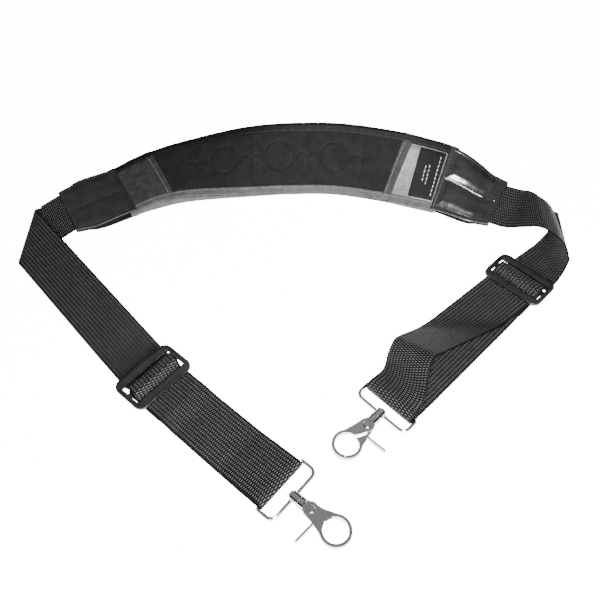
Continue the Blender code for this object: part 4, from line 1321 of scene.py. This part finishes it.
# Face panels: the seams each lies between and its length as a share of the pad's.
PANELS = (
    ("pad_face_quilted", "face_quilted", LEFT_SEAM, RIGHT_SEAM, quilted_height, 0.71),
    ("pad_face_left", "face_panel_left", PAD_START, LEFT_SEAM, plain_height, 0.123),
    ("pad_face_right", "face_panel_right", RIGHT_SEAM, PAD_FINISH, plain_height, 0.164),
)


def dress_pad():
    """The padded part: backing, face panels, hems, bindings and label."""
    suede = suede_material("quilted_suede", 0.014)
    left_cloth = satin_material("left_panel_cloth", 0.030, 0.5)
    right_cloth = satin_material("right_panel_cloth", 0.14, 0.34)
    dark_thread = thread_material("dark_thread", 0.02)
    pale_thread = thread_material("pale_thread", 0.30)
    dress(backing(), foam_material())
    cloths = (suede, left_cloth, right_cloth)
    for cloth, (name, stands_for, first, last, height, share) in zip(cloths, PANELS):
        made = panel(name, first, last, height, (stands_for,))
        dress(made, cloth)
    dress(hem_strip("left", LEFT_SEAM, 0.020), left_cloth)
    dress(hem_strip("right", RIGHT_SEAM, 0.026), suede_material("hem_suede", 0.045))
    dress(hem_stitches(), pale_thread)
    # The front tape is the back's black tape given a pale grey: a painted reflection of the light that
    # the front edge catches.
    dress(binding("binding_front", -1), tape_material("binding_front_painted_reflection", 0.092))
    dress(binding_stitches("binding_front", -1), pale_thread)
    dress(binding("binding_back", 1), tape_material("binding_back_cloth", 0.006))
    dress(binding_stitches("binding_back", 1), dark_thread)
    dress(label(), tape_material("label_cloth", 0.006))
    dress(label_bars(), thread_material("label_thread", 0.75))


def dress_tabs():
    """Leatherette tabs: matt and creased on the left, puffed and glossy on the right."""
    thread = thread_material("tab_thread", 0.035)
    looks = {
        "left": (0.0007, 0.0004, leather_material("left_tab_leather", 0.014, 0.46, 0.05)),
        "right": (0.0016, 0.0008, leather_material("right_tab_leather", 0.014, 0.24, 1.0)),
    }
    for side, (puff, crease, leather) in looks.items():
        for name, sign, padding in (("tab_face", 1, puff), ("tab_back", -1, 0.0003)):
            made, outline = tab_sheet(side, name, sign, padding, crease)
            dress(made, leather)
            dress(tab_stitches(side, name, outline), thread)


def dress_webbings():
    """Both sides' webbing."""
    material = webbing_material("black_webbing", 0.018)
    for side in SIDES:
        for piece in webbings(side):
            dress(piece, material)


# Stage: pale floor, soft lights and camera.

# Glow of the floor, which looks white to the camera and lights the strap more gently.
FLOOR_WHITE = 15.0
FLOOR_LIGHT = 2.2
FLOOR_HALF = 12.0
FLOOR_DROP = 0.0002


def floor():
    """A large pale floor just under the strap."""
    square = FLOOR_HALF * np.array([(-1, -1, 0), (1, -1, 0), (1, 1, 0), (-1, 1, 0)])
    made = quad_object("floor", square - FLOOR_DROP * UP, np.array([[0, 1, 2, 3]]))
    white = Shader("white_floor", (0.9, 0.9, 0.9), 0.7)
    white.set("Emission Color", (1, 1, 1, 1))
    seen = white.node("ShaderNodeLightPath").outputs["Is Camera Ray"]
    white.link(white.spread(seen, FLOOR_LIGHT, FLOOR_WHITE), "Emission Strength")
    dress(made, white.material)


def area_light(name, place, target, size, power):
    """A soft rectangular light looking at a target."""
    data = bpy.data.lights.new(name, "AREA")
    data.shape = "RECTANGLE"
    data.size, data.size_y = size
    data.energy = power
    made = new_object(name, data)
    made.location = place
    aim = np.subtract(target, place)
    tilt = math.acos(-aim[2] / np.linalg.norm(aim))
    made.rotation_euler = (tilt, 0, math.atan2(aim[0], -aim[1]) + math.pi)


def world():
    """Pale surroundings with a darker band, so that polished metal has something to mirror."""
    made = bpy.data.worlds.new("studio")
    bpy.context.scene.world = made
    made.use_nodes = True
    tree = made.node_tree
    background = tree.nodes["Background"]
    direction = tree.nodes.new("ShaderNodeTexCoord")
    split = tree.nodes.new("ShaderNodeSeparateXYZ")
    ramp = tree.nodes.new("ShaderNodeValToRGB")
    tree.links.new(direction.outputs["Generated"], split.inputs["Vector"])
    tree.links.new(split.outputs["Z"], ramp.inputs["Fac"])
    tree.links.new(ramp.outputs["Color"], background.inputs["Color"])
    stops = ((0.0, 0.02), (0.50, 0.03), (0.62, 0.10), (0.85, 0.34), (1.0, 0.22))
    set_stops(ramp, [(position, (value, value, value)) for position, value in stops])
    background.inputs["Strength"].default_value = 1.0


def camera():
    """Camera looking down the table."""
    data = bpy.data.cameras.new("camera")
    data.lens = CAMERA_LENS
    data.clip_start = 0.01
    made = new_object("camera", data)
    made.location = CAMERA_AT
    made.rotation_euler = (math.radians(CAMERA_PITCH), 0, 0)
    bpy.context.scene.camera = made


def main():
    """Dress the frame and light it."""
    camera()
    finish_hard_parts()
    dress_webbings()
    dress_pad()
    dress_tabs()
    floor()
    world()
    area_light("key", place=(-0.3, 0.9, 1.2), target=(0, -0.1, 0), size=(0.8, 0.5), power=0.4)
    area_light("front", place=(0.10, -0.75, 0.42), target=(0.02, -0.15, 0), size=(0.5, 0.2), power=9)
    area_light("near_camera", place=(0.20, -0.38, 0.60), target=(0.15, 0.12, 0), size=(0.20, 0.14),
               power=8)


def corners(bounds):
    """A box as plain lists."""
    return [[float(value) for value in corner] for corner in bounds]


main()
